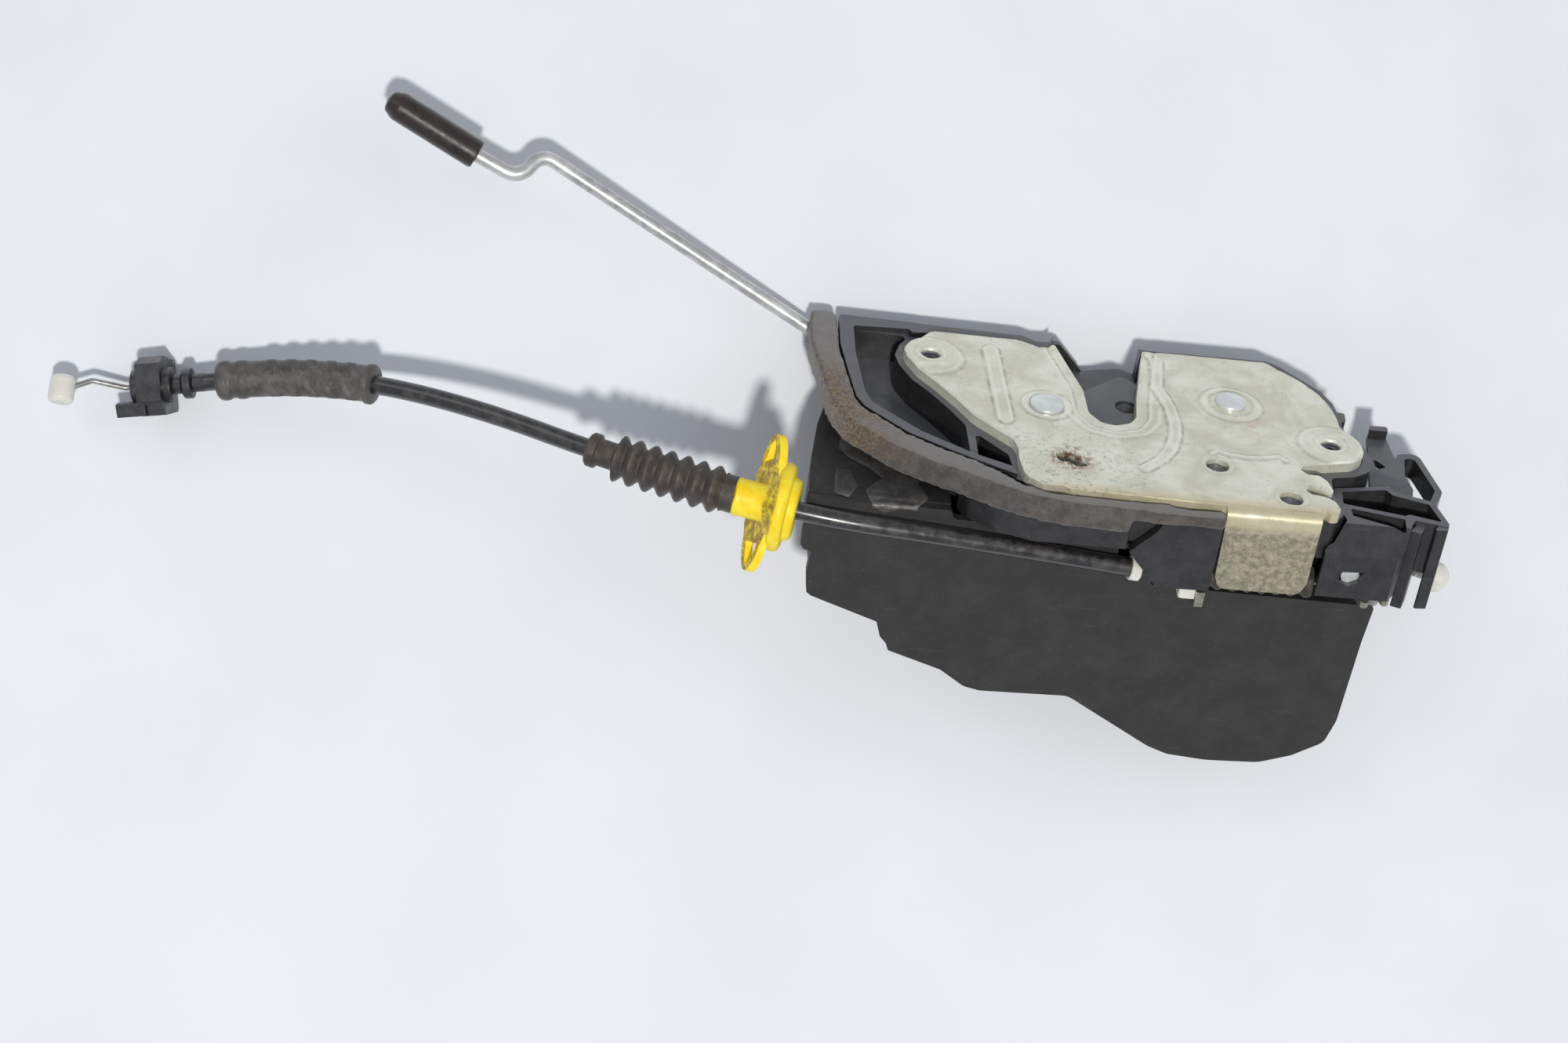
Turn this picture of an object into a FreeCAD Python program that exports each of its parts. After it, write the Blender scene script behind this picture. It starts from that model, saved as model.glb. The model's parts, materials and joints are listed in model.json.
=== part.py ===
import FreeCAD, Part
import os
import math
from FreeCAD import Vector as V

# ---------------------------------------------------------------------------
# Car door lock: a latch with its plate, claw and pawl, a flat actuator box at
# right angles to the plate, a lock rod and a pull cable.
#
# Two frames are used.
#  row frame  : millimetres, +Z up, the lock standing on a table as a tent.
#  plate frame: x along the plate, y in the plate towards the throat's mouth,
#               z out of the plate's face. Origin: centre of the left thread.
# Everything that belongs to the lock is drawn in the plate frame and gets one
# common Placement. The cable is drawn in the row frame.
# ---------------------------------------------------------------------------

doc = FreeCAD.newDocument("door_lock")
sheet = doc.addObject("Spreadsheet::Sheet", "sizes")
sheet.Label = "sizes"

SIZES = [
    ("tilt_angle", 55.8), ("place_x", 5.356), ("place_y", 22.18), ("place_z", 26.57),
    ("plate_thick", 2.5), ("flange_drop", 23.5), ("lip_drop", 1.5),
    ("thread_rad", 2.55), ("collar_rad", 4.6), ("collar_len", 3.2),
    ("claw_pin_rad", 4.0), ("pawl_pin_rad", 3.5), ("run_gap", 0.05),
    ("claw_top", 4.4), ("claw_thick", 5.4), ("core_inset", 0.9),
    ("rim_top", 1.0), ("web_top", 10.6), ("web_low", 13.6), ("wall_low", 20.0),
    ("back_thick", 1.6), ("cover_thick", 2.5), ("shell_depth", 26.0),
    ("shell_wall", 2.2), ("cover_face", 53.0),
    ("foam_top", 0.8), ("foam_low", 8.0), ("front_low", 14.6),
    ("rod_rad", 1.9), ("cap_rad", 3.9), ("conduit_rad", 2.4), ("wire_rad", 0.75),
    ("gear_module", 0.8), ("lever_thick", 3.0), ("motor_rad", 9.6),
    ("gaiter_rad", 4.2), ("claw_travel_deg", 72.0), ("lock_travel_deg", 40.7),
]
VAL = {}
for i, (nm, v) in enumerate(SIZES):
    sheet.set("A%d" % (i + 1), nm)
    sheet.set("B%d" % (i + 1), str(v))
    sheet.setAlias("B%d" % (i + 1), nm)
    VAL[nm] = v
doc.recompute()

ROT = FreeCAD.Rotation(V(1, 0, 0), -VAL["tilt_angle"])
BASE = V(VAL["place_x"], VAL["place_y"], VAL["place_z"])
TILT = FreeCAD.Placement(BASE, ROT)

NODES = []          # every sub-part, in order


def plate_to_row(p):
    return TILT.multVec(V(*p))


def ev(e):
    """Value of a number or of an expression in sheet names."""
    if isinstance(e, (int, float)):
        return float(e)
    return float(eval_names(e))


def eval_names(text):
    # sums and differences of sheet names and numbers, such as "web_top+1.5"
    total, sign, tok = 0.0, 1.0, ""
    for ch in text + "+":
        if ch in "+-" and tok.strip():
            t = tok.strip()
            total += sign * (VAL[t] if t in VAL else float(t))
            sign, tok = (1.0 if ch == "+" else -1.0), ""
        elif ch in "+-":
            sign = sign * (1.0 if ch == "+" else -1.0)
        else:
            tok += ch
    return total


def xpr(e, factor=""):
    """The same expression, written for setExpression."""
    out, tok = "", ""
    for ch in e + "+":
        if ch in "+-":
            t = tok.strip()
            if t:
                out += ("sizes." + t) if t in VAL else t
            out += ch
            tok = ""
        else:
            tok += ch
    return factor + "(" + out[:-1] + ")"


# ---------------------------------------------------------------------------
# closed outlines: a list of (x, y) or (x, y, corner radius)
# ---------------------------------------------------------------------------
def outline(pts):
    n = len(pts)
    P = [V(p[0], p[1], 0) for p in pts]
    R = [(p[2] if len(p) > 2 else 0.0) for p in pts]
    cor = []
    for i in range(n):
        a, b, c = P[i - 1], P[i], P[(i + 1) % n]
        u, w = (a - b), (c - b)
        la, lc = u.Length, w.Length
        u.normalize()
        w.normalize()
        d = max(-1.0, min(1.0, u.dot(w)))
        ang = math.acos(d)
        r = R[i]
        if r <= 0 or ang > math.radians(176) or ang < math.radians(4):
            cor.append((b, None, b))
            continue
        t = r / math.tan(ang / 2)
        lim = 0.47 * min(la, lc)
        if t > lim:
            t = lim
            r = t * math.tan(ang / 2)
        bis = u + w
        bis.normalize()
        cen = b + bis * (r / math.sin(ang / 2))
        mid = cen - bis * r
        cor.append((b + u * t, mid, b + w * t))
    geo = []
    for i in range(n):
        a, m, b = cor[i]
        if m is not None:
            geo.append(Part.Arc(a, m, b))
        nx = cor[(i + 1) % n][0]
        if (nx - b).Length > 1e-4:
            geo.append(Part.LineSegment(b, nx))
    return geo


def circle_pts(cx, cy, r, a0, a1, n):
    return [(cx + r * math.cos(math.radians(a0 + (a1 - a0) * k / n)),
             cy + r * math.sin(math.radians(a0 + (a1 - a0) * k / n))) for k in range(n + 1)]


def offset_line(pts, d):
    """Open polyline moved to its left by d."""
    out = []
    for i, p in enumerate(pts):
        a = pts[max(i - 1, 0)]
        b = pts[min(i + 1, len(pts) - 1)]
        tx, ty = b[0] - a[0], b[1] - a[1]
        ln = math.hypot(tx, ty)
        out.append((p[0] - ty / ln * d, p[1] + tx / ln * d))
    return out


# ---------------------------------------------------------------------------
# a sub-part made as a PartDesign body
# ---------------------------------------------------------------------------
class Piece:
    def __init__(self, label, placement=None):
        self.b = doc.addObject("PartDesign::Body", label)
        self.b.Label = label
        self.label = label
        self.k = 0
        if placement is None:
            self.b.Placement = TILT
            for ax in "xyz":
                self.b.setExpression("Placement.Base." + ax, "sizes.place_" + ax)
        else:
            self.b.Placement = placement
        NODES.append(self.b)

    def plane(self, role):
        for o in self.b.Origin.OriginFeatures:
            if o.Role == role:
                return o

    def sketch(self, role, loops, off):
        self.k += 1
        sk = self.b.newObject("Sketcher::SketchObject", "%s_s%d" % (self.label, self.k))
        sk.AttachmentSupport = [(self.plane(role), "")]
        sk.MapMode = "FlatFace"
        if isinstance(off, str):
            sk.setExpression("AttachmentOffset.Base.z", xpr(off))
        else:
            sk.AttachmentOffset = FreeCAD.Placement(V(0, 0, off), FreeCAD.Rotation())
        for lp in loops:
            if lp[0] == "c":
                _, cx, cy, r = lp
                g = sk.addGeometry(Part.Circle(V(cx, cy, 0), V(0, 0, 1), ev(r)), False)
                if isinstance(r, str):
                    import Sketcher
                    c = sk.addConstraint(Sketcher.Constraint("Radius", g, ev(r)))
                    sk.setExpression("Constraints[%d]" % c, xpr(r))
            else:
                sk.addGeometry(outline(lp), False)
        return sk

    def pad(self, role, loops, off, length, rev=False):
        sk = self.sketch(role, loops, off)
        f = self.b.newObject("PartDesign::Pad", "%s_pad%d" % (self.label, self.k))
        f.Profile = sk
        f.Reversed = rev
        if isinstance(length, str):
            f.Length = ev(length)
            f.setExpression("Length", xpr(length))
        else:
            f.Length = length
        sk.Visibility = False
        sk.recompute()
        f.recompute()
        if not f.Shape.isValid():
            print("INVALID AFTER", f.Name)
        return self

    def cut(self, role, loops, off, length, rev=False):
        before = self.b.Tip.Shape.Volume
        sk = self.sketch(role, loops, off)
        f = self.b.newObject("PartDesign::Pocket", "%s_cut%d" % (self.label, self.k))
        f.Profile = sk
        f.Reversed = rev
        if isinstance(length, str):
            f.Length = ev(length)
            f.setExpression("Length", xpr(length))
        else:
            f.Length = length
        sk.recompute()
        f.recompute()
        if not f.Shape.isValid():
            print("INVALID AFTER", f.Name)
        after = f.Shape.Volume
        if after > before - 0.02:
            print("CUT REMOVES NOTHING", self.label, f.Name, before, after)
        return self

    # down: from z = -top to z = -low
    def slab(self, loops, top, low):
        return self.pad("XY_Plane", loops, neg(top), diff(low, top), rev=True)

    def bore(self, loops, top, low):
        return self.cut("XY_Plane", loops, neg(top), diff(low, top))

    # in the x-z plane, from y = -a to y = -b with a > b (a is the front)
    def front(self, loops, a, b):
        return self.pad("XZ_Plane", loops, a, diff(a, b), rev=True)

    def front_cut(self, loops, a, b):
        return self.cut("XZ_Plane", loops, a, diff(a, b))

    def revolve(self, loop):
        """profile in (radius, height), turned about the body's Z axis"""
        sk = self.sketch("XZ_Plane", [loop], 0.0)
        f = self.b.newObject("PartDesign::Revolution", "%s_rev%d" % (self.label, self.k))
        f.Profile = sk
        f.ReferenceAxis = (sk, ["V_Axis"])
        f.Angle = 360.0
        sk.recompute()
        f.recompute()
        return self

    def fillet(self, test, r):
        names = []
        for i, e in enumerate(self.b.Tip.Shape.Edges):
            if test(e):
                names.append("Edge%d" % (i + 1))
        if not names:
            print("NO EDGE TO ROUND", self.label)
            return self
        tip = self.b.Tip
        f = self.b.newObject("PartDesign::Fillet", "%s_round%d" % (self.label, self.k))
        f.Base = (tip, names)
        f.Radius = r
        doc.recompute()
        if "Invalid" in f.State or "Error" in f.State:
            print("ROUND FAILED", self.label)
            self.b.removeObject(f)
            doc.removeObject(f.Name)
            self.b.Tip = tip
            doc.recompute()
        return self


def neg(e):
    if isinstance(e, str):
        out = "-" + e.replace("+", "#").replace("-", "+").replace("#", "-")
        return out
    return -e


def diff(a, b):
    if isinstance(a, str) or isinstance(b, str):
        a = a if isinstance(a, str) else repr(a)
        b = b if isinstance(b, str) else repr(b)
        return a + neg(b)
    return a - b


def feature(label, shape, placement=None):
    o = doc.addObject("Part::Feature", label)
    o.Label = label
    o.Shape = shape
    o.Placement = (TILT if placement is None else placement).multiply(shape.Placement)
    NODES.append(o)
    return o


def along(p, d):
    """Placement whose Z axis points along d, at p."""
    return FreeCAD.Placement(V(*p), FreeCAD.Rotation(V(0, 0, 1), V(*d)))


# ===========================================================================
# latch plate
# ===========================================================================
P1 = (28.6, -20.2)      # claw pin
P2 = (78.2, -10.9)      # pawl pin
THROAT = [(33.9, 11.8), (39.3, -10.6), (39.5, -21.0), (42.2, -25.2), (45.8, -26.2),
          (50.0, -24.6), (52.0, -21.4), (53.1, -12.6), (57.7, 11.6)]
PLATE = [(-2.6, 7.4, 3), (-5.4, 5.4, 4), (-7.0, 2.4, 4), (-6.4, -1.2, 4), (-3.6, -7.5, 4), (0, -12.3, 6),
         (5.2, -20.4, 10), (9.1, -27.5, 10), (13.8, -32.5, 6), (18.4, -37.2, 4), (19.3, -40.5, 4),
         (19.0, -45.4, 6), (19.9, -52.6, 3), (24.2, -56.4, 2), (29.2, -56.1, 1.5), (31.0, -57.5, 1),
         (70.3, -58.9, 0.4), (70.3, -61.0), (94.5, -61.0), (94.5, -57.6, 0.6), (95.7, -57.1, 0.5), (97.0, -59.0, 1),
         (99.0, -58.3, 1), (99.7, -55.8, 2), (98.9, -52.5, 2), (96.4, -50.8, 2), (93.2, -50.2, 1.2),
         (92.0, -48.5, 1), (93.4, -46.6, 1), (98.6, -49.9, 1), (99.3, -47.6, 2), (98.5, -43.5, 2.5),
         (96.8, -41.3, 1.5), (93.7, -41.1, 1), (92.3, -39.2, 1), (93.1, -37.5, 1),
         (99.4, -35.9, 4), (106.6, -34.1, 5), (109.7, -31.4, 4), (110.8, -28.0, 4), (110.5, -24.4, 4),
         (108.6, -21.1, 5), (106.3, -17.1, 3), (106.3, -13.3, 5), (105.6, -8.2, 8), (103.9, -3.2, 8),
         (101.0, 1.6, 8), (97.5, 5.7, 8), (93.8, 8.7, 5), (91.6, 11.4, 1.5),
         (61.0, 11.4, 1), (59.1, 11.9, 0.8), (57.7, 11.6, 0.5)]
PLATE += [(x, y, 3) for (x, y) in reversed(THROAT[1:-1])]
PLATE += [(33.9, 11.8, 0.6), (32.2, 9.3, 1), (29.5, 8.9, 1.5), (24.6, 11.5, 2), (0.8, 11.8, 1.5)]
WINDOW = [(28.6, -41.9, 0.8), (30.6, -41.0, 1), (32.8, -40.6, 1.2), (34.4, -42.4, 1), (36.6, -46.6, 0.8),
          (33.6, -47.2, 1), (31.8, -45.3, 0.8), (29.2, -45.3, 1.2)]
plate = Piece("latch_plate")
plate.slab([PLATE, ("c", 0, 0, "thread_rad"), ("c", 102.1, -27.1, "thread_rad"),
            ("c", P1[0], P1[1], "claw_pin_rad"), ("c", P2[0], P2[1], "pawl_pin_rad"),
            ("c", 70.4, -40.7, 3.0), ("c", 87.6, -53.0, 3.0), WINDOW], 0.0, "plate_thick")
plate.slab([("c", 0, 0, "collar_rad"), ], 2.0, "plate_thick+collar_len")
plate.slab([("c", 102.1, -27.1, "collar_rad"), ], 2.0, "plate_thick+collar_len")
plate.bore([("c", 0, 0, "thread_rad")], -1.0, 8.0)
plate.bore([("c", 102.1, -27.1, "thread_rad")], -1.0, 8.0)
LIP_IN = offset_line(THROAT, -1.7)
LIPS = [(x, y, 2.0) for (x, y) in THROAT] + [(x, y, 2.0) for (x, y) in reversed(LIP_IN)]
plate.slab([LIPS], 2.0, "plate_thick+lip_drop")
plate.front([[(70.3, -1.2), (94.5, -1.2), (94.5, -20.0, 1), (93.0, -23.5, 2.5), (72.4, -23.5, 2.5), (70.9, -20.0, 1)]],
            61.0, 58.5)
plate.fillet(lambda e: abs(e.BoundBox.YMin + 61) < 1e-3 and abs(e.BoundBox.YMax + 61) < 1e-3
             and abs(e.BoundBox.ZMin) < 1e-3 and abs(e.BoundBox.ZMax) < 1e-3 and e.Length > 20, 2.3)

# ===========================================================================
# claw: steel core in a moulded plastic jacket. Rest position is open.
# ===========================================================================
CD = math.radians(40.0)
dx, dy = math.cos(CD), math.sin(CD)
nx, ny = -math.sin(CD), math.cos(CD)


def claw_sn(s, o):
    return (P1[0] + s * dx + o * nx, P1[1] + s * dy + o * ny)


def pol(r, a, c=P1):
    return (c[0] + r * math.cos(math.radians(a)), c[1] + r * math.sin(math.radians(a)))


def claw_outline(g):
    """g: how far the outline is drawn in all round"""
    rim = 35.0 - g
    pts = []
    pts += [p + (3.0,) for p in [pol(14.6 - g, a) for a in (150, 185, 220, 255, 290, 320)]]
    pts += [pol(16.5 - g, -14) + (5.0,)]
    pts += [pol(24.0, 2 + 2.2 * g) + (4.0,)]
    pts += [pol(rim - 0.4, 12 + 1.8 * g) + (2.0,)]
    pts += [pol(rim, a) + (8.0,) for a in (20, 28, 36)]
    s_tip = math.sqrt(rim * rim - (4.75 - g) ** 2)
    pts += [pol(rim, 43) + (4.0,)]
    pts += [claw_sn(s_tip - 0.6, 4.75 - g) + (1.2,)]
    # slot for the striker
    rs = 6.25 + g
    pts += [claw_sn(15.0, 4.75 - g) + (1.0,)]
    for a in (-90, -125, -160, -195, -230, -270):
        pts += [(claw_sn(14.25 + rs * math.cos(math.radians(a)), 11.0 + rs * math.sin(math.radians(a)))) + (1.5,)]
    pts += [claw_sn(21.6 - g, 17.25 + g) + (1.6,)]
    pts += [claw_sn(21.9 - g, 22.4 - g) + (2.2,)]
    pts += [claw_sn(15.0, 24.2 - g) + (6.0,)]
    pts += [claw_sn(7.0, 23.0 - g) + (6.0,)]
    pts += [pol(18.4 - g, 138) + (6.0,)]
    return pts


CLAW_LOW = "claw_top+claw_thick"
core = Piece("claw_core")
core.slab([claw_outline(1.6), ("c", P1[0], P1[1], "claw_pin_rad+run_gap")],
          "claw_top+core_inset", "claw_top+claw_thick-core_inset")
jacket = Piece("claw_jacket")
BUF = pol(25.3, 24.5)
jacket.slab([claw_outline(0.0), ("c", P1[0], P1[1], "claw_pin_rad+run_gap")], "claw_top", CLAW_LOW)
jb = doc.addObject("Part::Cut", "claw_jacket_cut")
jb.Base = jacket.b
jb.Tool = core.b
jb.Label = "claw_jacket_hollow"
NODES.remove(jacket.b)
jacket.b.Label = "claw_jacket_blank"
bufhole = doc.addObject("Part::Cylinder", "claw_buffer_seat")
bufhole.Radius = 3.0
bufhole.Height = 0.7
bufhole.Placement = TILT.multiply(FreeCAD.Placement(V(BUF[0], BUF[1], -VAL["claw_top"] - 0.69), FreeCAD.Rotation()))
jc = doc.addObject("Part::Cut", "claw_overmould")
jc.Base = jb
jc.Tool = bufhole
jc.Label = "claw_overmould"
NODES.append(jc)
buf = Piece("claw_buffer", TILT.multiply(FreeCAD.Placement(V(BUF[0], BUF[1], -VAL["claw_top"] - 0.69), FreeCAD.Rotation())))
buf.revolve([(0, 0), (2.6, 0), (2.5, 0.25, 0.2), (1.6, 0.55, 0.8), (0, 0.66)])

# ===========================================================================
# pawl, drawn lifted off the claw's rim (its place while the claw is open)
# ===========================================================================
def rot_about(p, c, deg):
    a = math.radians(deg)
    x, y = p[0] - c[0], p[1] - c[1]
    return (c[0] + x * math.cos(a) - y * math.sin(a), c[1] + x * math.sin(a) + y * math.cos(a))


def from_closed(s, o):
    """point in the closed claw's own directions, turned to the lifted pawl"""
    a = math.radians(-32.0)
    p = (P1[0] + s * math.cos(a) - o * math.sin(a), P1[1] + s * math.sin(a) + o * math.cos(a))
    return rot_about(p, P2, 9.0)


Q1, Q2 = from_closed(31.4, 5.0), from_closed(36.0, 5.0)
Q3, Q4 = from_closed(31.6, 10.0), from_closed(38.2, 7.0)


def pawl_outline(g):
    return [Q1[:2] + (0.8,), Q2[:2] + (1.2,), Q4[:2] + (2.0,),
            (72.5 - g, -27.5, 4), (80.5 - g, -19.2 + g, 3), (86.0, -17.6 + g, 3), (92.4 - g, -14.0 + g, 2), (91.6 - g, -9.6 - g, 2),
            (86.0, -8.0 - g, 4), (81.5, -4.0 - g, 4), (76.0, -3.6 - g, 4), (71.4 + g, -7.0, 4), (70.4 + g, -13.5, 6), Q3[:2] + (3.0,)]


pawl = Piece("pawl_core")
pawl.slab([pawl_outline(0.0), ("c", P2[0], P2[1], "pawl_pin_rad+run_gap")], "claw_top+0.9", "claw_top+claw_thick-0.9")
pj = Piece("pawl_overmould")
pj.slab([[(74.0, -24.0, 2), (79.6, -18.6, 2), (86.0, -16.9, 2), (91.0, -13.6, 1.5), (90.4, -10.4, 1.5), (86.0, -9.0, 3),
          (81.2, -5.0, 4), (76.0, -4.8, 4), (72.4, -7.6, 4), (71.6, -13.5, 5), (69.0, -20.5, 2)],
         ("c", P2[0], P2[1], "pawl_pin_rad+run_gap")], "claw_top", "claw_top+0.9")

# pins, riveted over the plate and staked in the back plate
for nm, c, rr, hr in (("claw_pin", P1, "claw_pin_rad", 4.3), ("pawl_pin", P2, "pawl_pin_rad", 4.0)):
    p = Piece(nm, TILT.multiply(FreeCAD.Placement(V(c[0], c[1], 0), FreeCAD.Rotation())))
    r = VAL[rr]
    zb = -(VAL["wall_low"] + VAL["back_thick"])
    p.revolve([(0, 1.4), (hr, 1.4, 0.3), (hr, 0.0), (r, 0.0), (r, zb), (r + 0.9, zb), (r + 0.6, zb - 0.9, 0.3), (0, zb - 0.9)])

# ===========================================================================
# latch housing
# ===========================================================================
TOP_R = [(62.0, 16.6, 1), (92.8, 16.9, 1.5), (95.8, 14.9, 3), (105.3, 4.2, 4), (107.8, -1.6, 4), (108.2, -5.9, 0.6), (110.2, -5.9, 0.6), (109.9, -9.6, 1),
         (108.3, -11.0, 1), (108.7, -15.8, 4),
         (112.6, -22.0, 5), (113.6, -28.2, 5), (112.0, -33.4, 4), (107.4, -36.6, 4)]
H0 = [(-23.0, 18.4, 1.0), (26.4, 16.3, 1.5), (29.8, 13.9, 1.5), (32.6, 14.4, 1.0), (34.4, 17.5, 0.8), (36.4, 17.5, 0.8),
      (44.3, 16.8, 2), (54.3, 19.6, 3), (57.8, 17.6, 0.8), (58.4, 16.9, 0.4), (60.2, 16.6, 0.6)] + TOP_R + \
     [(101.0, -38.0, 2), (100.3, -46.0, 3), (102.2, -53.0, 3), (98.6, -58.2, 2),
      (31.2, -57.6, 2), (25.0, -54.4, 6), (17.0, -50.7, 8), (8.8, -46.5, 8), (3.2, -43.4, 8), (-8.0, -36.6, 8),
      (-18.6, -26.0, 4), (-20.6, -21.5, 4), (-22.0, -10.0, 8), (-23.4, 4.0, 8)]
H0B = [(10.0, -47.5, 1), (16.0, -50.5, 2), (26.0, -53.0, 2), (47.4, -53.0), (47.4, -60.2, 0.6),
       (24.0, -60.2, 6), (14.5, -57.4, 8), (7.0, -52.0, 4), (4.0, -46.0, 2)]
H2 = [(7.0, 17.0, 1), (33.0, 17.0, 1), (33.0, 15.2, 1), (56.0, 15.2, 1), (60.0, 16.6, 1)] + TOP_R + \
     [(101.0, -38.0, 2), (99.0, -47.0, 2), (97.0, -49.8, 2), (16.5, -49.8, 2), (7.0, -44.5, 2)]
hs = Piece("latch_housing")
hs.slab([H0], "plate_thick", "web_low")
hs.slab([H0B], "foam_low", "front_low")
hs.slab([H2], "web_top", "wall_low")
# claw and pawl chamber, open to the throat
CH = [(4.0, 14.2, 2), (33.2, 14.2, 0.5), (35.6, 15.8, 0.5), (37.4, 26.0), (57.9, 26.0), (57.9, 13.4, 0.5), (59.8, 13.4, 0.5), (59.8, 12.9),
      (91.5, 12.9, 3), (97.0, 8.4, 5), (102.8, 0.0, 6), (105.5, -9.0, 6), (106.0, -16.6, 3),
      (110.4, -23.0, 4), (111.2, -28.0, 4), (109.6, -31.8, 4), (106.0, -34.2, 4), (95.5, -36.6, 2), (92.0, -42.0, 3),
      (94.0, -50.0, 3), (94.0, -56.0, 2), (32.0, -55.4, 2), (21.6, -50.0, 2), (21.4, -40.6, 2), (15.6, -33.6, 3),
      (11.2, -28.2, 3), (7.2, -20.6, 4), (2.0, -12.4, 4), (-2.2, -7.6, 4), (-5.1, -1.2, 4), (-5.3, 2.6, 3), (-3.6, 5.0, 3), (-0.6, 7.0, 2)]
hs.bore([CH], 1.0, "web_top")
# left pocket and the small pocket beside it
PK1 = [(-19.4, 13.2, 0.8), (-4.6, 12.5, 1.5), (-7.2, 8.2, 3), (-8.9, 3.0, 4), (-8.1, -1.8, 4), (-5.2, -8.6, 4),
       (-1.5, -13.4, 6), (3.7, -21.6, 8), (7.3, -28.4, 3), (7.5, -43.2, 0.8), (-5.0, -35.2, 6), (-16.6, -23.8, 3), (-18.2, -18.6, 3), (-19.6, 0.0, 8)]
PK2 = [(9.4, -31.6, 0.8), (13.0, -35.6, 2), (17.2, -40.4, 1.5), (18.0, -47.6, 0.8), (9.4, -44.4, 0.8)]
hs.bore([PK1, PK2], 1.0, "web_top")
# space behind the web
LV = [(9.2, 14.0, 1), (33.0, 13.4, 1), (55.0, 12.6, 1), (60.0, 12.9, 1), (91.5, 12.9, 3), (97.0, 8.4, 5), (102.8, 0.0, 6),
      (105.5, -9.0, 6), (106.4, -16.8, 3), (110.4, -23.0, 4), (111.2, -28.0, 4), (109.6, -31.8, 4), (105.6, -34.6, 3),
      (98.8, -36.8, 2), (97.0, -46.5, 2), (95.6, -47.8, 1), (17.2, -47.8, 1), (9.2, -43.4, 1)]
hs.bore([LV], "web_low", 21.0)
# post and bush bosses stand in that space
POSTS = [(14.0, -36.0), (14.0, 6.0), (64.0, 5.0), (98.0, -8.0), (62.0, -42.0), (92.0, -41.0)]
hs.slab([("c", P1[0], P1[1], 6.6), ("c", P2[0], P2[1], 6.0)] + [("c", q[0], q[1], 3.4) for q in POSTS], "web_low-1", "wall_low")
hs.bore([("c", P1[0], P1[1], "claw_pin_rad"), ("c", P2[0], P2[1], "pawl_pin_rad")], 0.0, 22.0)
hs.cut("XY_Plane", [("c", q[0], q[1], 1.3) for q in POSTS], -21.0, 6.0, rev=True)
# stubs that show in the plate's two small holes, and a pad under the window
hs.slab([("c", 70.4, -40.7, 2.3), ("c", 87.6, -53.0, 2.3)], 1.2, "web_top+0.5")
hs.slab([[(25.6, -54.4), (38.8, -56.4), (38.6, -43.6, 2), (34.6, -39.2, 2), (27.6, -39.2, 2), (25.6, -46.0, 2)]], "plate_thick+0.1", "plate_thick+1.5")
# raised rim round the left pocket, clear of the plate
RIM_O = [(-23.0, 18.4, 1.0), (-1.2, 17.4, 0.5), (-1.2, 12.6, 0.5), (-4.0, 12.6, 1), (-4.6, 14.0), (-19.4, 13.2, 0.8), (-19.6, 0.0, 8), (-18.2, -18.6, 3),
         (-16.6, -23.8, 3), (-5.0, -35.2, 6), (7.5, -43.2, 0.8), (9.4, -44.2, 0.4), (17.6, -47.9, 1), (18.6, -51.4, 1), (17.0, -50.7, 8), (8.8, -46.5, 8), (3.2, -43.4, 8),
         (-8.0, -36.6, 8), (-18.6, -26.0, 4), (-20.6, -21.5, 4), (-22.0, -10.0, 8), (-23.4, 4.0, 8)]
hs.slab([RIM_O], "rim_top", "plate_thick+0.6")
hs.slab([[(-1.9, 12.9), (24.8, 12.3), (28.4, 10.6), (32.0, 10.6), (33.6, 12.8), (34.6, 17.1), (33.0, 13.9), (29.6, 13.5), (26.2, 16.0), (-1.9, 17.2)]],
        "rim_top", "plate_thick+0.6")
# the two long feet of the top wall, on which the lock stands
hs.slab([[(8.2, 14.9, 0.5), (31.8, 14.9, 0.5), (31.8, 16.97, 0.4), (8.2, 16.97, 0.4)],
         [(63.4, 14.9, 0.5), (91.0, 14.9, 0.5), (91.0, 16.6, 0.3), (63.4, 16.4, 0.3)]], 18.0, 22.3)
# the rod runs outside the pocket's top wall
hs.cut("XY_Plane", [[(-26.0, 15.2), (-8.0, 15.2), (-8.0, 22.0), (-26.0, 22.0)]], -3.4, 12.0)
hs.cut("XY_Plane", [[(-21.0, 13.9), (-8.0, 13.9), (-8.0, 22.0), (-21.0, 22.0)]], -9.0, 8.0)

# ramp at the left of the throat's mouth
hs.front([[(34.6, -2.7, 0.6), (36.6, -2.7, 0.6), (44.2, -10.9, 0.6), (34.6, -10.9)]], -15.9, -17.3)

# steel plate behind the latch housing, with its screws
BK = [(5.6, 14.5, 2), (26.4, 14.5, 1), (33.0, 9.0, 3), (37.5, -8.0, 4), (38.0, -22.0, 5), (46.0, -29.5, 6), (54.0, -22.0, 5), (55.5, -6.0, 4), (60.0, 13.4, 2)] + \
     [(62.0, 13.4, 1), (92.0, 13.4, 3), (98.4, 8.0, 6), (104.4, 0.2, 8), (107.4, -7.8, 8), (108.0, -15.6, 4), (105.0, -22.0, 4),
      (104.0, -30.0, 4), (99.5, -37.0, 3), (98.0, -46.5, 3), (95.0, -49.4, 3), (17.0, -49.4, 3), (7.4, -44.2, 3)]
bp_ = Piece("back_plate")
bp_.slab([BK, ("c", P1[0], P1[1], "claw_pin_rad"), ("c", P2[0], P2[1], "pawl_pin_rad")] + [("c", q[0], q[1], 1.7) for q in POSTS],
         "wall_low", "wall_low+back_thick")
screws = []
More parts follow.
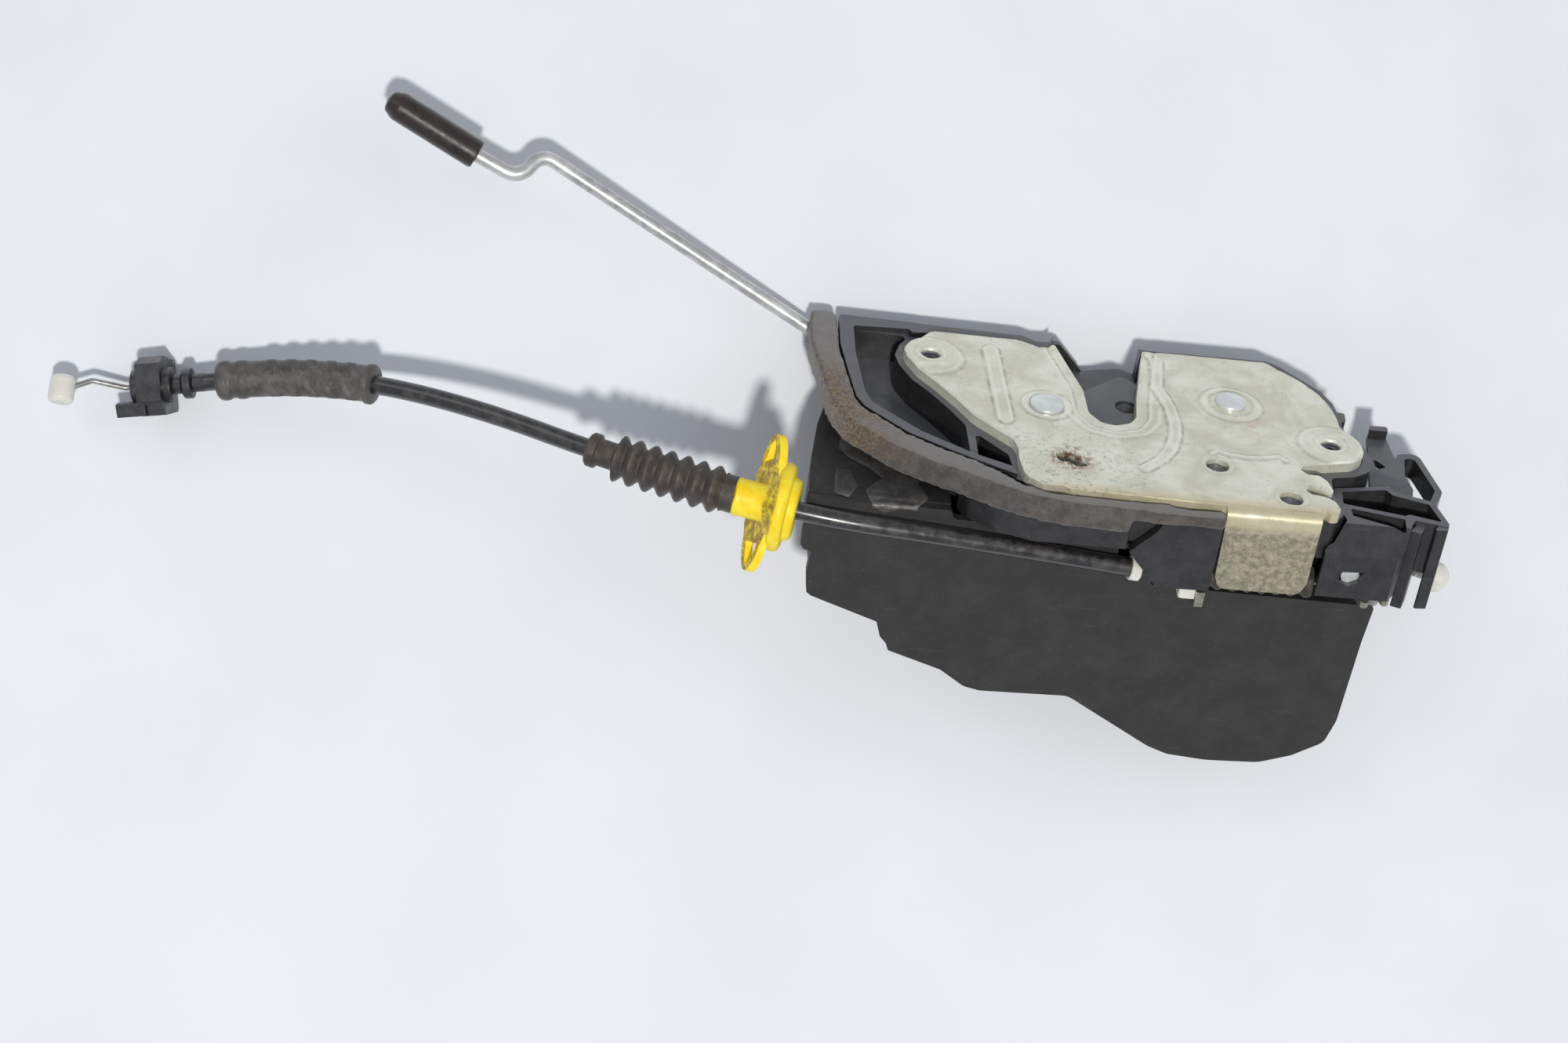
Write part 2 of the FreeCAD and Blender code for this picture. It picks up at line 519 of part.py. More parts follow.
for q in POSTS:
    hd = Part.makeCylinder(2.9, 1.5, V(q[0], q[1], -VAL["wall_low"] - VAL["back_thick"] - 1.5))
    sk_ = Part.makeCylinder(1.3, 6.6, V(q[0], q[1], -VAL["wall_low"] - VAL["back_thick"] - 0.2))
    hexs = Part.Face(Part.Wire(Part.makePolygon([V(q[0] + 1.35 * math.cos(k * math.pi / 3), q[1] + 1.35 * math.sin(k * math.pi / 3),
                     -VAL["wall_low"] - VAL["back_thick"] - 1.6) for k in range(7)]))).extrude(V(0, 0, 1.0))
    screws.append(hd.fuse(sk_).removeSplitter().cut(hexs))
feature("housing_screws", Part.makeCompound(screws))

# torsion springs round the two pins, behind the web
def spring(cx, cy, rc, rw, z0, turns, pitch, leg, a0):
    hx = Part.makeHelix(pitch, pitch * turns, rc)
    prof = Part.Wire(Part.makeCircle(rw, V(rc, 0, 0), V(0, 1, 0)))
    tube = Part.Wire(hx.Edges).makePipeShell([prof], True, True)
    end = Part.makeCylinder(rw, leg, V(rc, 0.0, 0), V(0, -1, 0))
    body = tube.fuse(end)
    return body.transformed(FreeCAD.Placement(V(cx, cy, z0), FreeCAD.Rotation(V(0, 0, 1), a0)).toMatrix())


feature("claw_spring", spring(P1[0], P1[1], 8.1, 0.7, -19.2, 3, 1.6, 9.0, 200))
feature("pawl_spring", spring(P2[0], P2[1], 7.3, 0.55, -18.9, 3, 1.3, 9.0, 20))

# two microswitches and the lead frame that feeds them
for nm, x0, y0 in (("claw_switch", 40.0, -46.0), ("pawl_switch", 70.0, -30.6)):
    m = Piece(nm)
    m.slab([[(x0, y0, 0.4), (x0 + 12.8, y0, 0.4), (x0 + 12.8, y0 + 5.8, 0.4), (x0, y0 + 5.8, 0.4)],
            ("c", x0 + 3.2, y0 + 2.0, 1.0), ("c", x0 + 9.6, y0 + 2.0, 1.0)], 14.2, 19.4)
    m.slab([[(x0 + 3.6, y0 + 5.0, 0.3), (x0 + 5.4, y0 + 5.0, 0.3), (x0 + 5.4, y0 + 7.2, 0.8), (x0 + 3.6, y0 + 7.2, 0.8)]], 15.8, 17.8)
lf = Piece("lead_frame")
lf.slab([[(54.6, -46.8, 0.5), (57.4, -46.8, 0.5), (57.4, -35.6, 0.5), (94.6, -35.6, 1), (94.6, -33.0, 1), (54.6, -33.0, 1)]], 16.6, 18.0)

# ===========================================================================
# cable bracket, left of the flange
# ===========================================================================
br = Piece("cable_bracket")
br.front([[(47.9, -14.8, 0.4), (53.8, -8.2, 0.6), (55.6, -4.4, 1.0), (70.1, -4.4, 0.6), (70.1, -24.6, 0.6), (56.6, -24.8, 0.6)]], 61.0, 58.4)
br.front([[(52.6, -15.0), (70.1, -15.0), (70.1, -24.6, 0.5), (56.6, -24.6, 0.6), (52.6, -20.0, 0.5)]], 59.0, 50.4)
br.pad("YZ_Plane", [("c", -54.2, -23.7, 2.5)], 53.8, 16.3)
br.cut("YZ_Plane", [("c", -54.2, -23.7, 0.95)], 72.0, 30.0)

# wire end: fitting, wire, gaiter, levers
WY, WZ = -54.2, -23.7
# ===========================================================================
# actuator box: cover (outer face) and inner shell
# ===========================================================================
COVER = [(-32.9, -12.4, 0.6), (-32.9, -26.6, 0.4), (-31.9, -27.9, 0.4), (-30.1, -28.2, 0.6), (-30.3, -35.2, 4), (-29.5, -41.0, 0.8),
         (-28.2, -42.0, 1), (-10.4, -48.4, 0.8), (-8.9, -52.9, 1), (-7.0, -55.0, 1), (-6.2, -57.1, 0.8), (8.2, -61.9, 4), (15.0, -66.6, 4),
         (19.4, -67.6, 6), (42.6, -67.0, 5), (48.8, -70.7, 8), (66.5, -81.2, 8), (72.0, -83.3, 6), (82.7, -84.3, 30), (96.8, -83.7, 10),
         (105.2, -80.5, 6), (112.8, -75.4, 4), (114.6, -68.0, 8), (115.3, -42.0, 10), (116.1, -30.6, 1.0), (57.4, -29.8, 1), (56.8, -26.8, 0.8),
         (47.4, -26.8, 0.8), (47.0, -15.2, 0.6), (4.4, -15.0, 1), (3.2, -12.4, 0.8)]
cov = Piece("actuator_cover")
cov.front([COVER], "cover_face", "cover_face-cover_thick")


def shrink(pts, d):
    """closed polygon drawn in by d (corner radii kept)"""
    area = sum(pts[i][0] * pts[(i + 1) % len(pts)][1] - pts[(i + 1) % len(pts)][0] * pts[i][1] for i in range(len(pts)))
    sg = 1.0 if area > 0 else -1.0
    out = []
    n = len(pts)
    for i in range(n):
        a, b, c = pts[i - 1], pts[i], pts[(i + 1) % n]
        u = (b[0] - a[0], b[1] - a[1])
        w = (c[0] - b[0], c[1] - b[1])
        lu, lw = math.hypot(*u), math.hypot(*w)
        nu = (-u[1] / lu * sg, u[0] / lu * sg)
        nw = (-w[1] / lw * sg, w[0] / lw * sg)
        m = (nu[0] + nw[0], nu[1] + nw[1])
        k = d * 2.0 / max(0.35, (m[0] ** 2 + m[1] ** 2))
        r = b[2] if len(b) > 2 else 0.0
        out.append((b[0] + m[0] * k, b[1] + m[1] * k, r))
    return out


SHELL = [(-29.5, -23.8, 1), (-29.4, -35.2, 3), (-28.6, -40.6, 1),
         (-10.0, -47.4, 1), (-8.2, -52.4, 1), (-5.6, -56.4, 1), (8.4, -61.0, 4), (15.2, -65.8, 4),
         (19.6, -66.6, 6), (42.6, -66.0, 5), (49.0, -69.8, 8), (66.8, -80.3, 8), (72.2, -82.4, 6), (82.7, -83.3, 30), (96.6, -82.7, 10),
         (104.8, -79.6, 6), (112.0, -74.8, 4), (113.7, -67.8, 8), (114.4, -42.0, 10), (115.1, -30.4, 1.0), (57.0, -30.2, 1), (56.0, -23.8, 0.8)]
SF = "cover_face-cover_thick"
SB = "cover_face-cover_thick-shell_depth"
shl = Piece("actuator_housing")
shl.front([SHELL], SF, SB)
SH_IN = shrink(SHELL, 2.2)
shl.front_cut([SH_IN], "cover_face", "cover_face-cover_thick-shell_depth+shell_wall")
# shelf beside the latch housing, with the box's left side wall
SHELF = [(-32.6, -50.4, 0.4), (-31.4, -35.5, 8), (-29.0, -18.7, 8), (-25.2, -3.7, 3), (-24.2, 2.0, 1), (-23.7, 2.0), (-22.4, -10.0, 6), (-20.9, -21.6, 4),
         (-18.9, -26.3, 4), (-8.2, -37.0, 8), (3.0, -43.8, 4), (3.3, -46.2, 1), (3.4, -50.4, 0.5)]
shl.slab([SHELF], 12.2, 14.2)
SIDE = [(-32.6, -50.4, 0.4), (-31.4, -35.5, 8), (-29.0, -18.7, 8), (-25.2, -3.7, 3), (-22.9, -4.2, 0.3), (-25.6, -19.0, 8), (-27.6, -35.5, 8), (-28.4, -50.4, 0.3)]
shl.slab([SIDE], 13.0, 24.9)
# lever posts on the box's top wall, and the motor's and gears' seats
LP = (-10.5, -36.0)       # lock lever's axis in x, z
GP = (LP[0] + 20.37, LP[1] - 4.22)
MP = (GP[0] + 15.6, GP[1] - 3.55)
IL = (108.2, -32.0)       # inner release lever's axis in x, y
OL = (76.0, -33.0)        # outer release lever's axis in x, y
shl.slab([("c", IL[0], IL[1], 2.6)], 25.6, 31.0)
shl.slab([("c", OL[0], OL[1], 2.6)], 26.2, 31.0)
shl.front_cut([("c", LP[0], LP[1], 4.35)], 29.0, 20.0)
shl.front([("c", GP[0], GP[1], 3.2)], 28.6, 25.4)
shl.front_cut([("c", GP[0], GP[1], 1.5)], 30.0, 27.2)

# ===========================================================================
# lock actuator: motor, pinion, cluster gear, lock lever
# ===========================================================================
def gear(cx, cy, teeth, module, a0=0.0, arc=None, backlash=0.30):
    """outline of a spur gear; a tooth is centred at angle a0 (degrees)"""
    rp = module * teeth / 2.0
    ra, rf = rp + 0.85 * module, rp - 1.12 * module
    st = 360.0 / teeth
    th = (math.pi * module / 2 - backlash) / rp / 2
    pts = []
    n = teeth
    k0 = 0
    if arc:
        k0 = int(round((arc[0] - a0) / st))
        n = int(round((arc[1] - arc[0]) / st)) + 1
    for k in range(k0, k0 + n):
        c = math.radians(a0 + k * st)
        h = th
        for r, w in ((rf, h * 1.55), (rp, h), (ra, h * 0.46)):
            pts.append((cx + r * math.cos(c - w), cy + r * math.sin(c - w)))
        for r, w in ((ra, h * 0.46), (rp, h), (rf, h * 1.55)):
            pts.append((cx + r * math.cos(c + w), cy + r * math.sin(c + w)))
    return pts


MOD = VAL["gear_module"]
# phase: a tooth of one gear faces a gap of the other on the centre line
ang_lg = math.degrees(math.atan2(GP[1] - LP[1], GP[0] - LP[0]))
ang_gm = math.degrees(math.atan2(MP[1] - GP[1], MP[0] - GP[0]))
# lock lever
lk = Piece("lock_lever")
SECT_A = gear(LP[0], LP[1], 40, MOD, ang_lg, (ang_lg - 9.0, ang_lg + 49.0))
sect = [(LP[0] - 3.5 * math.cos(math.radians(ang_lg)), LP[1] - 5.0)] + SECT_A + [(LP[0] - 3.0, LP[1] + 5.0)]
lk.front([sect], 36.0, 33.0)
lk.front([("c", LP[0], LP[1], 4.1)], 49.6, 19.4)
lk.front([[(LP[0] - 2.0, LP[1] + 3.4), (LP[0] - 6.4, LP[1] + 1.2, 0.8), (LP[0] - 6.4, LP[1] - 1.2, 0.8), (LP[0] - 2.0, LP[1] - 3.4)]], 46.5, 41.5)
A0 = 91.2                                     # fork's angle at rest


def fork_pt(r, w):
    a = math.radians(A0)
    return (LP[0] + r * math.cos(a) - w * math.sin(a), LP[1] + r * math.sin(a) + w * math.cos(a))


lk.front([[fork_pt(-3.5, -4.0) + (2,), fork_pt(10, -4.6) + (4,), fork_pt(21.3, -4.6) + (1.2,), fork_pt(21.3, -2.55) + (0.6,),
           fork_pt(14.2, -2.55) + (2.4,), fork_pt(14.2, 2.55) + (2.4,), fork_pt(21.3, 2.55) + (0.6,), fork_pt(21.3, 4.6) + (1.2,),
           fork_pt(10, 4.6) + (4,), fork_pt(-3.5, 4.0) + (2,)]], 22.5, 19.5)
lk.cut("XZ_Plane", [("c", LP[0], LP[1], 1.8)], 52.0, 40.0)
# its pivot pin, fixed in the cover's boss
swt = Piece("lock_switch")
swt.front([[(-25.6, -31.2, 0.5), (-18.6, -31.2, 0.5), (-18.6, -35.2, 0.4), (-17.2, -35.6, 0.3), (-17.2, -36.8, 0.3), (-18.6, -37.2, 0.4), (-18.6, -38.6, 0.5), (-25.6, -38.6, 0.5)]], 48.0, 40.0)
tc = Piece("terminal_carrier")
tc.front([[(60.0, -34.0, 1), (111.0, -34.0, 1), (111.0, -66.0, 2), (104.0, -75.0, 3), (78.0, -78.0, 3), (60.0, -70.0, 3)],
          ("c", 96.0, -52.0, 9.0), ("c", 72.0, -62.0, 5.0)], 45.0, 43.2)
tc.front([[(63.0, -37.0, 0.5), (108.0, -37.0, 0.5), (108.0, -39.0, 0.5), (63.0, -39.0, 0.5)]], 46.2, 44.6)
lp_pin = Piece("lock_lever_pin")
lp_pin.front([("c", LP[0], LP[1], 1.75)], 50.5, 19.0)
lp_pin.front([("c", LP[0], LP[1], 3.0)], 19.1, 18.2)

cl = Piece("cluster_gear")
cl.front([gear(GP[0], GP[1], 12, MOD, ang_lg + 180 + 15.0)], 37.0, 31.6)
# the big wheel's teeth mesh with the pinion on their own centre line
cl.front([gear(GP[0], GP[1], 30, MOD, ang_gm)], 31.6, 28.9)
cl.cut("XZ_Plane", [("c", GP[0], GP[1], 1.55)], 52.0, 40.0)
gp = Piece("gear_shaft")
gp.front([("c", GP[0], GP[1], 1.5)], 50.5, 27.3)
mc = Piece("motor")
mc.front([("c", MP[0], MP[1], "motor_rad")], 49.6, 33.4)
mc.front([("c", MP[0], MP[1], 3.0)], 33.6, 32.6)
mc.front([("c", MP[0], MP[1], 1.0)], 32.8, 28.9)
mc.cut("XZ_Plane", [("c", MP[0], MP[1] + 6.2, 1.1)], 50.0, 1.2)
mp = Piece("motor_pinion")
mp.front([gear(MP[0], MP[1], 10, MOD, ang_gm + 180 + 18.0), ("c", MP[0], MP[1], 1.05)], 31.4, 29.0)

# ===========================================================================
# release levers, inner cable run and gaiter
# ===========================================================================
# wire's pin: at rest 6 mm to the right of the lever's axis, at full pull 6 mm to its left
IL_R = math.hypot(6.0, 22.2)
IL_A = math.atan2(-22.2, 6.0)


def il_pt(r, w):
    return (IL[0] + r * math.cos(IL_A) - w * math.sin(IL_A), IL[1] + r * math.sin(IL_A) + w * math.cos(IL_A))


il = Piece("inner_release_lever")
il.slab([[il_pt(-4.6, 1.0) + (3,), il_pt(-3.0, 4.4) + (3,), il_pt(6.0, 4.6) + (4,), il_pt(19.0, 4.1) + (2,), il_pt(25.6, 4.0) + (1.4,), il_pt(25.6, 2.02) + (0.5,),
          il_pt(20.0, 2.02) + (1.8,), il_pt(20.0, -2.02) + (1.8,), il_pt(25.6, -2.02) + (0.5,), il_pt(25.6, -4.0) + (1.4,), il_pt(19.0, -4.1) + (2,),
          il_pt(6.0, -4.6) + (3,), (IL[0] - 5.4, IL[1] - 1.6, 2), (93.0, -26.6, 2), (91.6, -23.2, 2), (94.6, -21.8, 2), (IL[0] - 3.0, IL[1] + 5.4, 3)],
         ("c", IL[0], IL[1], 2.65)], 26.6, 28.2)
ol = Piece("outer_release_lever")
ol.slab([[(OL[0] - 1.0, OL[1] + 4.4, 3), (OL[0] + 4.4, OL[1] + 1.5, 3), (OL[0] + 3.0, OL[1] - 4.0, 3), (70.3, -46.5, 3), (70.2, -58.9, 0.4),
          (67.9, -58.9, 0.4), (67.0, -46.5, 4), (OL[0] - 5.0, OL[1] - 3.5, 4)],
         ("c", OL[0], OL[1], 2.65)], 26.8, 28.6)
ol.slab([[(67.9, -58.9, 0.3), (70.2, -58.9, 0.3), (70.2, -57.2, 0.3), (67.9, -57.2, 0.3)]], 27.0, 31.2)
bush = Piece("outer_lever_bush")
bush.slab([[(63.6, -58.2, 1.0), (67.86, -58.2, 0.3), (67.6, -53.6, 0.3), (63.6, -53.6, 1.0)]], 26.5, 29.4)

XAX = FreeCAD.Rotation(V(0, 0, 1), V(1, 0, 0))


def xpiece(label, x, y, z):
    return Piece(label, TILT.multiply(FreeCAD.Placement(V(x, y, z), XAX)))


iw = xpiece("inner_wire", 66.0, WY, WZ)
wr = VAL["wire_rad"]
iw.revolve([(0, 0), (wr, 0), (wr, 48.2), (0, 48.2)])
# its end pin stands across the wire, through the lever's fork
iw.pad("YZ_Plane", [("c", 0.0, 48.2, 1.9)], -0.9, 5.4)
ga = xpiece("release_gaiter", 70.9, WY, WZ)
pts = [(2.9, 0), (2.9, 26.6), (4.0, 26.6)]
for k in range(7):
    xk = 26.6 - k * 3.8
    pts += [(VAL["gaiter_rad"], xk - 0.9), (VAL["gaiter_rad"], xk - 1.3), (3.3, xk - 2.8), (3.3, xk - 3.2)]
pts += [(3.6, 0.0)]
pts = [p for p in pts if p[1] >= 0]
ga.revolve(pts)

# ===========================================================================
# connector shroud at the right, its pins, and the harness clip
# ===========================================================================
S0 = [(97.0, -59.6, 0.5), (99.2, -60.9, 1), (115.6, -60.9, 1), (118.4, -57.6, 1), (120.0, -52.6, 0.5), (121.4, -50.2, 0.5), (129.4, -52.2, 0.5), (130.0, -50.6, 0.5), (127.8, -41.0, 1),
      (118.6, -38.0, 0.6), (117.0, -35.6, 0.6), (109.0, -37.3, 2), (102.0, -38.6, 1), (101.4, -46.0, 2), (103.2, -53.0, 2), (99.4, -58.4, 0.6)]
cs = Piece("connector_shroud")
cs.slab([S0], 5.0, 20.0)
cs.slab([[(97.0, -59.8, 0.3), (97.2, -61.0, 0.4), (116.0, -61.0, 1), (118.4, -57.6, 0.8), (117.0, -56.8, 0.4), (115.2, -59.4, 0.4)]], 9.0, 23.2)
CH1 = [(103.4, -45.4, 0.6), (104.0, -40.0, 0.8), (109.0, -38.9, 1), (116.0, -37.3, 0.6), (117.4, -39.6, 0.6), (126.4, -42.4, 0.6), (128.2, -50.0, 0.4), (120.2, -47.8, 0.4), (119.0, -48.6, 0.4)]
CH2 = [(105.0, -50.6, 0.4), (105.0, -47.4, 0.4), (118.6, -50.2, 0.4), (118.0, -55.4, 0.5)]
cs.bore([CH1], 4.0, 17.5)
cs.bore([CH2], 4.0, 18.0)
# hollow under the front slope and sloping front face
cs.cut("XY_Plane", [[(98.8, -59.4), (114.8, -59.4), (116.4, -57.0, 1), (106.0, -53.4, 1), (104.0, -55.0, 1)]], -24.0, 12.0, rev=True)
cs.cut("YZ_Plane", [[(-62.5, -4.0), (-53.0, -4.0), (-61.2, -10.6), (-62.5, -10.6)]], 125.0, 30.0)
# slot in the front wall
cs.front_cut([[(102.0, -15.4, 0.4), (108.4, -15.0, 0.4), (107.8, -18.0, 1.5), (105.0, -19.6, 1.5), (102.4, -18.4, 1.2)]], 62.0, 58.0)
# rails
cs.slab([[(119.6, -53.4, 0.3), (123.0, -49.0, 0.4), (124.6, -49.6, 0.3), (122.4, -54.4, 0.5)]], 6.2, 29.6)
cs.slab([[(125.4, -53.8, 0.5), (127.4, -51.2), (130.0, -50.8, 0.3), (129.2, -53.4, 0.5)]], 5.2, 29.6)
pins = []
for k in range(6):
    x = 107.0 + k * 3.1
    y = -42.6 - 0.30 * (x - 107.0)
    pins.append(Part.makeBox(0.7, 0.7, 6.0, V(x, y, -17.5)))
feature("connector_pins", Part.makeCompound(pins))
sp = Piece("lever_stop_pin")
sp.front([("c", 105.4, -17.4, 2.3)], 59.3, 55.6)
hc = Piece("harness_clip")
hc.slab([[(119.4, -1.0, 0.5), (124.2, -0.8, 0.8), (124.6, -9.0, 2), (127.0, -26.0, 2), (124.4, -37.0, 1), (124.6, -39.75), (118.8, -37.9), (117.2, -35.5), (110.2, -36.9), (115.4, -27.0, 2)],
         [(118.6, -12.4, 0.5), (121.6, -16.4, 0.5), (118.6, -18.2, 0.5)]], 11.4, 13.2)
hc.slab([[(123.2, -38.0, 0.5), (123.0, -24.0, 1), (126.6, -7.4, 1.5), (132.4, -6.2, 2.5), (135.6, -24.0, 3), (132.4, -31.0, 1), (127.4, -40.2, 0.5)],
         [(125.4, -26.0, 1), (128.2, -9.4, 1.5), (131.0, -8.8, 1.5), (133.7, -23.6, 2), (131.0, -29.6, 1), (126.6, -34.8, 1)]], 12.8, 18.6)
hc.slab([[(119.4, -1.0, 0.5), (124.2, -0.8, 0.8), (124.0, -3.2, 0.3), (119.2, -3.2, 0.3)]], 8.6, 13.0)
kn = Piece("harness_peg", TILT.multiply(FreeCAD.Placement(V(130.4, -45.5, -24.4), FreeCAD.Rotation(V(0, 0, 1), V(1, 0, -0.25)))))
kn.revolve([(0, -4.0), (1.6, -4.0), (1.6, 0.0), (3.6, 0.0, 0.6), (4.0, 2.6, 1.5), (2.6, 4.6, 1.5), (0, 4.9)])

# ===========================================================================
# foam seal round the housing's outer edge
# ===========================================================================
FI = [(-23.2, 17.6, 1.0), (-23.7, 4.0, 8), (-22.3, -10.0, 8), (-20.9, -21.7, 4), (-18.9, -26.3, 4), (-8.2, -37.0, 8), (3.0, -43.8, 8), (8.6, -46.9, 8),
      (14.8, -51.2, 8), (19.4, -55.2, 6), (24.8, -57.8, 6), (31.0, -58.5, 3), (50.0, -58.9), (70.0, -60.6)]
FO = [(70.0, -64.2, 2), (50.0, -63.4, 10), (32.0, -62.6, 8), (21.4, -60.6, 8), (12.4, -56.8, 8), (4.6, -52.6, 8), (-1.0, -50.4, 8), (-12.6, -43.0, 8),
      (-23.4, -33.6, 8), (-27.4, -24.0, 8), (-29.2, -10.0, 8), (-31.2, 4.0, 8), (-30.8, 19.6, 2.5), (-24.6, 20.4, 1.5)]
fs = Piece("foam_seal")
fs.slab([FI + FO], "foam_top", "foam_low")
fs.cut("XY_Plane", [[(46.6, -56.0), (75.0, -56.0), (75.0, -66.0), (46.6, -66.0)]], -10.0, 5.8, rev=True)
NODES.remove(fs.b)
fs.b.Label = "foam_seal_blank"
rodway = doc.addObject("Part::Cylinder", "foam_rod_way")
rodway.Radius = 3.8
rodway.Height = 26.0
rodway.Placement = TILT.multiply(FreeCAD.Placement(V(-42.0, 20.8, -0.5), FreeCAD.Rotation(V(0, 0, 1), V(0.88, -0.1386, -0.4532))))
fcut = doc.addObject("Part::Cut", "foam_seal")
fcut.Base = fs.b
fcut.Tool = rodway
fcut.Label = "foam_seal"
NODES.append(fcut)

# ===========================================================================
# lock rod, its cap and its clip
# ===========================================================================
def runs_and_arcs(pts, frac=0.45, radii=None, report=None):
    """Edges of a path of straight runs joined by tangent arcs."""
    P = [V(*p) for p in pts]
    edges = []
    last = P[0]
    for i in range(1, len(P) - 1):
        a, b, c = P[i - 1], P[i], P[i + 1]
        u = (a - b)
        w = (c - b)
        lu, lw = u.Length, w.Length
        u.normalize()
        w.normalize()
        turn = math.pi - math.acos(max(-1, min(1, u.dot(w))))
        if radii:
            r = radii[i - 1]
            t = r * math.tan(turn / 2)
        else:
            t = frac * min(lu, lw)
            r = t / math.tan(turn / 2)
        bis = u + w
        bis.normalize()
        cen = b + bis * (r / math.cos(turn / 2))
        mid = cen - bis * r
        s, e = b + u * t, b + w * t
        if (s - last).Length > 1e-5:
            edges.append(Part.LineSegment(last, s).toShape())
        edges.append(Part.Arc(s, mid, e).toShape())
        last = e
        if report is not None:
            report.append((round(r, 1), round(math.degrees(turn), 1), round(lu, 1), round(lw, 1)))
    edges.append(Part.LineSegment(last, P[-1]).toShape())
    return edges


def tube(edges, r):
    e0 = edges[0]
    p = e0.valueAt(e0.FirstParameter)
    d = e0.tangentAt(e0.FirstParameter)
    prof = Part.Wire(Part.makeCircle(r, p, d))
    w = Part.Wire(edges)
    s = w.makePipeShell([prof], True, False)
    if s.Volume < 0:
        s.reverse()
    want = math.pi * r * r * sum(e.Length for e in edges)
    if abs(s.Volume / want - 1) > 0.01:
        print("TUBE VOLUME OFF", s.Volume, want)
    return s


# points in the row frame before place_x and place_y are added
def W(p):
    return (p[0] + VAL["place_x"], p[1] + VAL["place_y"], p[2] + VAL["place_z"] - 27.0)


ROD_IN = plate_to_row((-10.9, 15.9, -16.5))
ROD_LEG = plate_to_row((-10.9, -22.3, -16.5))
ROD = [W((-121.4, 40.9, 22.0)), W((-110.2, 35.9, 21.0)), W((-104.9, 43.2, 20.2)), (ROD_IN.x, ROD_IN.y, ROD_IN.z), (ROD_LEG.x, ROD_LEG.y, ROD_LEG.z)]
rod_edges = runs_and_arcs(ROD, radii=[5.0, 4.4, 6.0])
feature("lock_rod", tube(rod_edges, VAL["rod_rad"]), FreeCAD.Placement())
cap_dir = V(*W((-145.6, 53.0, 22.6))) - V(*ROD[0])
cap_len = cap_dir.Length
cap_dir.normalize()
capb = V(*ROD[0]) + cap_dir * 0.0
cap = Piece("rod_cap", along((capb.x, capb.y, capb.z), (cap_dir.x, cap_dir.y, cap_dir.z)))
cr = VAL["cap_rad"]
cap.revolve([(0, 0.02), (cr - 0.2, 0.02, 0.4), (cr, 1.2, 0.5), (cr, cap_len - 3.4, 3.0), (cr - 1.2, cap_len - 0.6, 1.5), (0, cap_len)])
rd = (V(*ROD[3]) - V(*ROD[2]))
rd.normalize()
rcp = plate_to_row((-27.6, 18.55, -7.9))
clipb = V(ROD[3][0], ROD[3][1], ROD[3][2]) - rd * 21.0
rc = Piece("rod_guide", along((clipb.x, clipb.y, clipb.z), (rd.x, rd.y, rd.z)))
rc.revolve([(2.0, 0.0), (3.6, 0.0, 0.4), (3.6, 6.5, 0.4), (2.0, 6.5)])

# ===========================================================================
# cable: conduit with gaiter, grommet, sleeve and end clip, wire and barrel
# ===========================================================================
EX = plate_to_row((53.6, -55.5, -23.4))
CL = plate_to_row((-36.0, -57.4, -14.7))
CM0 = plate_to_row((9.5, -56.9, -18.2))
ROUTE = [(EX.x, EX.y, EX.z), (CM0.x, CM0.y, CM0.z), (CL.x, CL.y, CL.z), W((-84.5, -33.4, 51.5)), W((-112.0, -25.6, 41.0)),
         W((-137.4, -20.8, 30.4)), W((-156.0, -20.0, 22.2)), W((-172.2, -21.2, 16.6)), W((-186.0, -23.4, 13.9))]
rep = []
cable_edges = runs_and_arcs(ROUTE, report=rep)
print("conduit arcs: radius, turn, runs:", rep)
print("conduit length %.1f" % sum(e.Length for e in cable_edges))
feature("cable_conduit", tube(cable_edges, VAL["conduit_rad"]), FreeCAD.Placement())


def sub_path(edges, s0, s1):
    out = []
    pos = 0.0
    for e in edges:
        L = e.Length
        a, b = max(s0, pos), min(s1, pos + L)
        if b - a > 1e-4:
            pa = e.FirstParameter if a - pos < 1e-6 else e.getParameterByLength(a - pos)
            pb = e.LastParameter if pos + L - b < 1e-6 else e.getParameterByLength(b - pos)
            out.append(e.Curve.toShape(pa, pb))
        pos += L
    return out


def at_length(edges, s):
    pos = 0.0
    for e in edges:
        if s <= pos + e.Length + 1e-6:
            p = e.getParameterByLength(max(1e-6, min(e.Length - 1e-6, s - pos)))
            return e.valueAt(p), e.tangentAt(p)
        pos += e.Length


CABLE_LEN = sum(e.Length for e in cable_edges)


def ring_on_cable(label, s0, s1, ro):
    sub = sub_path(cable_edges, s0, s1)
    outer = tube(sub, ro)
    inner = tube(sub, VAL["conduit_rad"])
    return feature(label, outer.cut(inner), FreeCAD.Placement())


S_GROM = 93.5
ring_on_cable("cable_gaiter", S_GROM + 15.2, S_GROM + 55.0, 6.2)
ring_on_cable("cable_sleeve", CABLE_LEN - 46.0, CABLE_LEN - 3.4, 5.3)
gpos, gdir = at_length(cable_edges, S_GROM)
gm = Piece("cable_grommet", along((gpos.x, gpos.y, gpos.z), (gdir.x, gdir.y, gdir.z)))
gm.revolve([(2.75, -4.0), (8.0, -4.0, 0.8), (11.6, -2.6, 0.6), (11.6, 1.6, 0.6), (8.6, 3.8, 1.0), (5.0, 4.2, 1), (5.0, 13.8, 0.3), (4.2, 14.8, 0.3), (2.75, 14.8)])
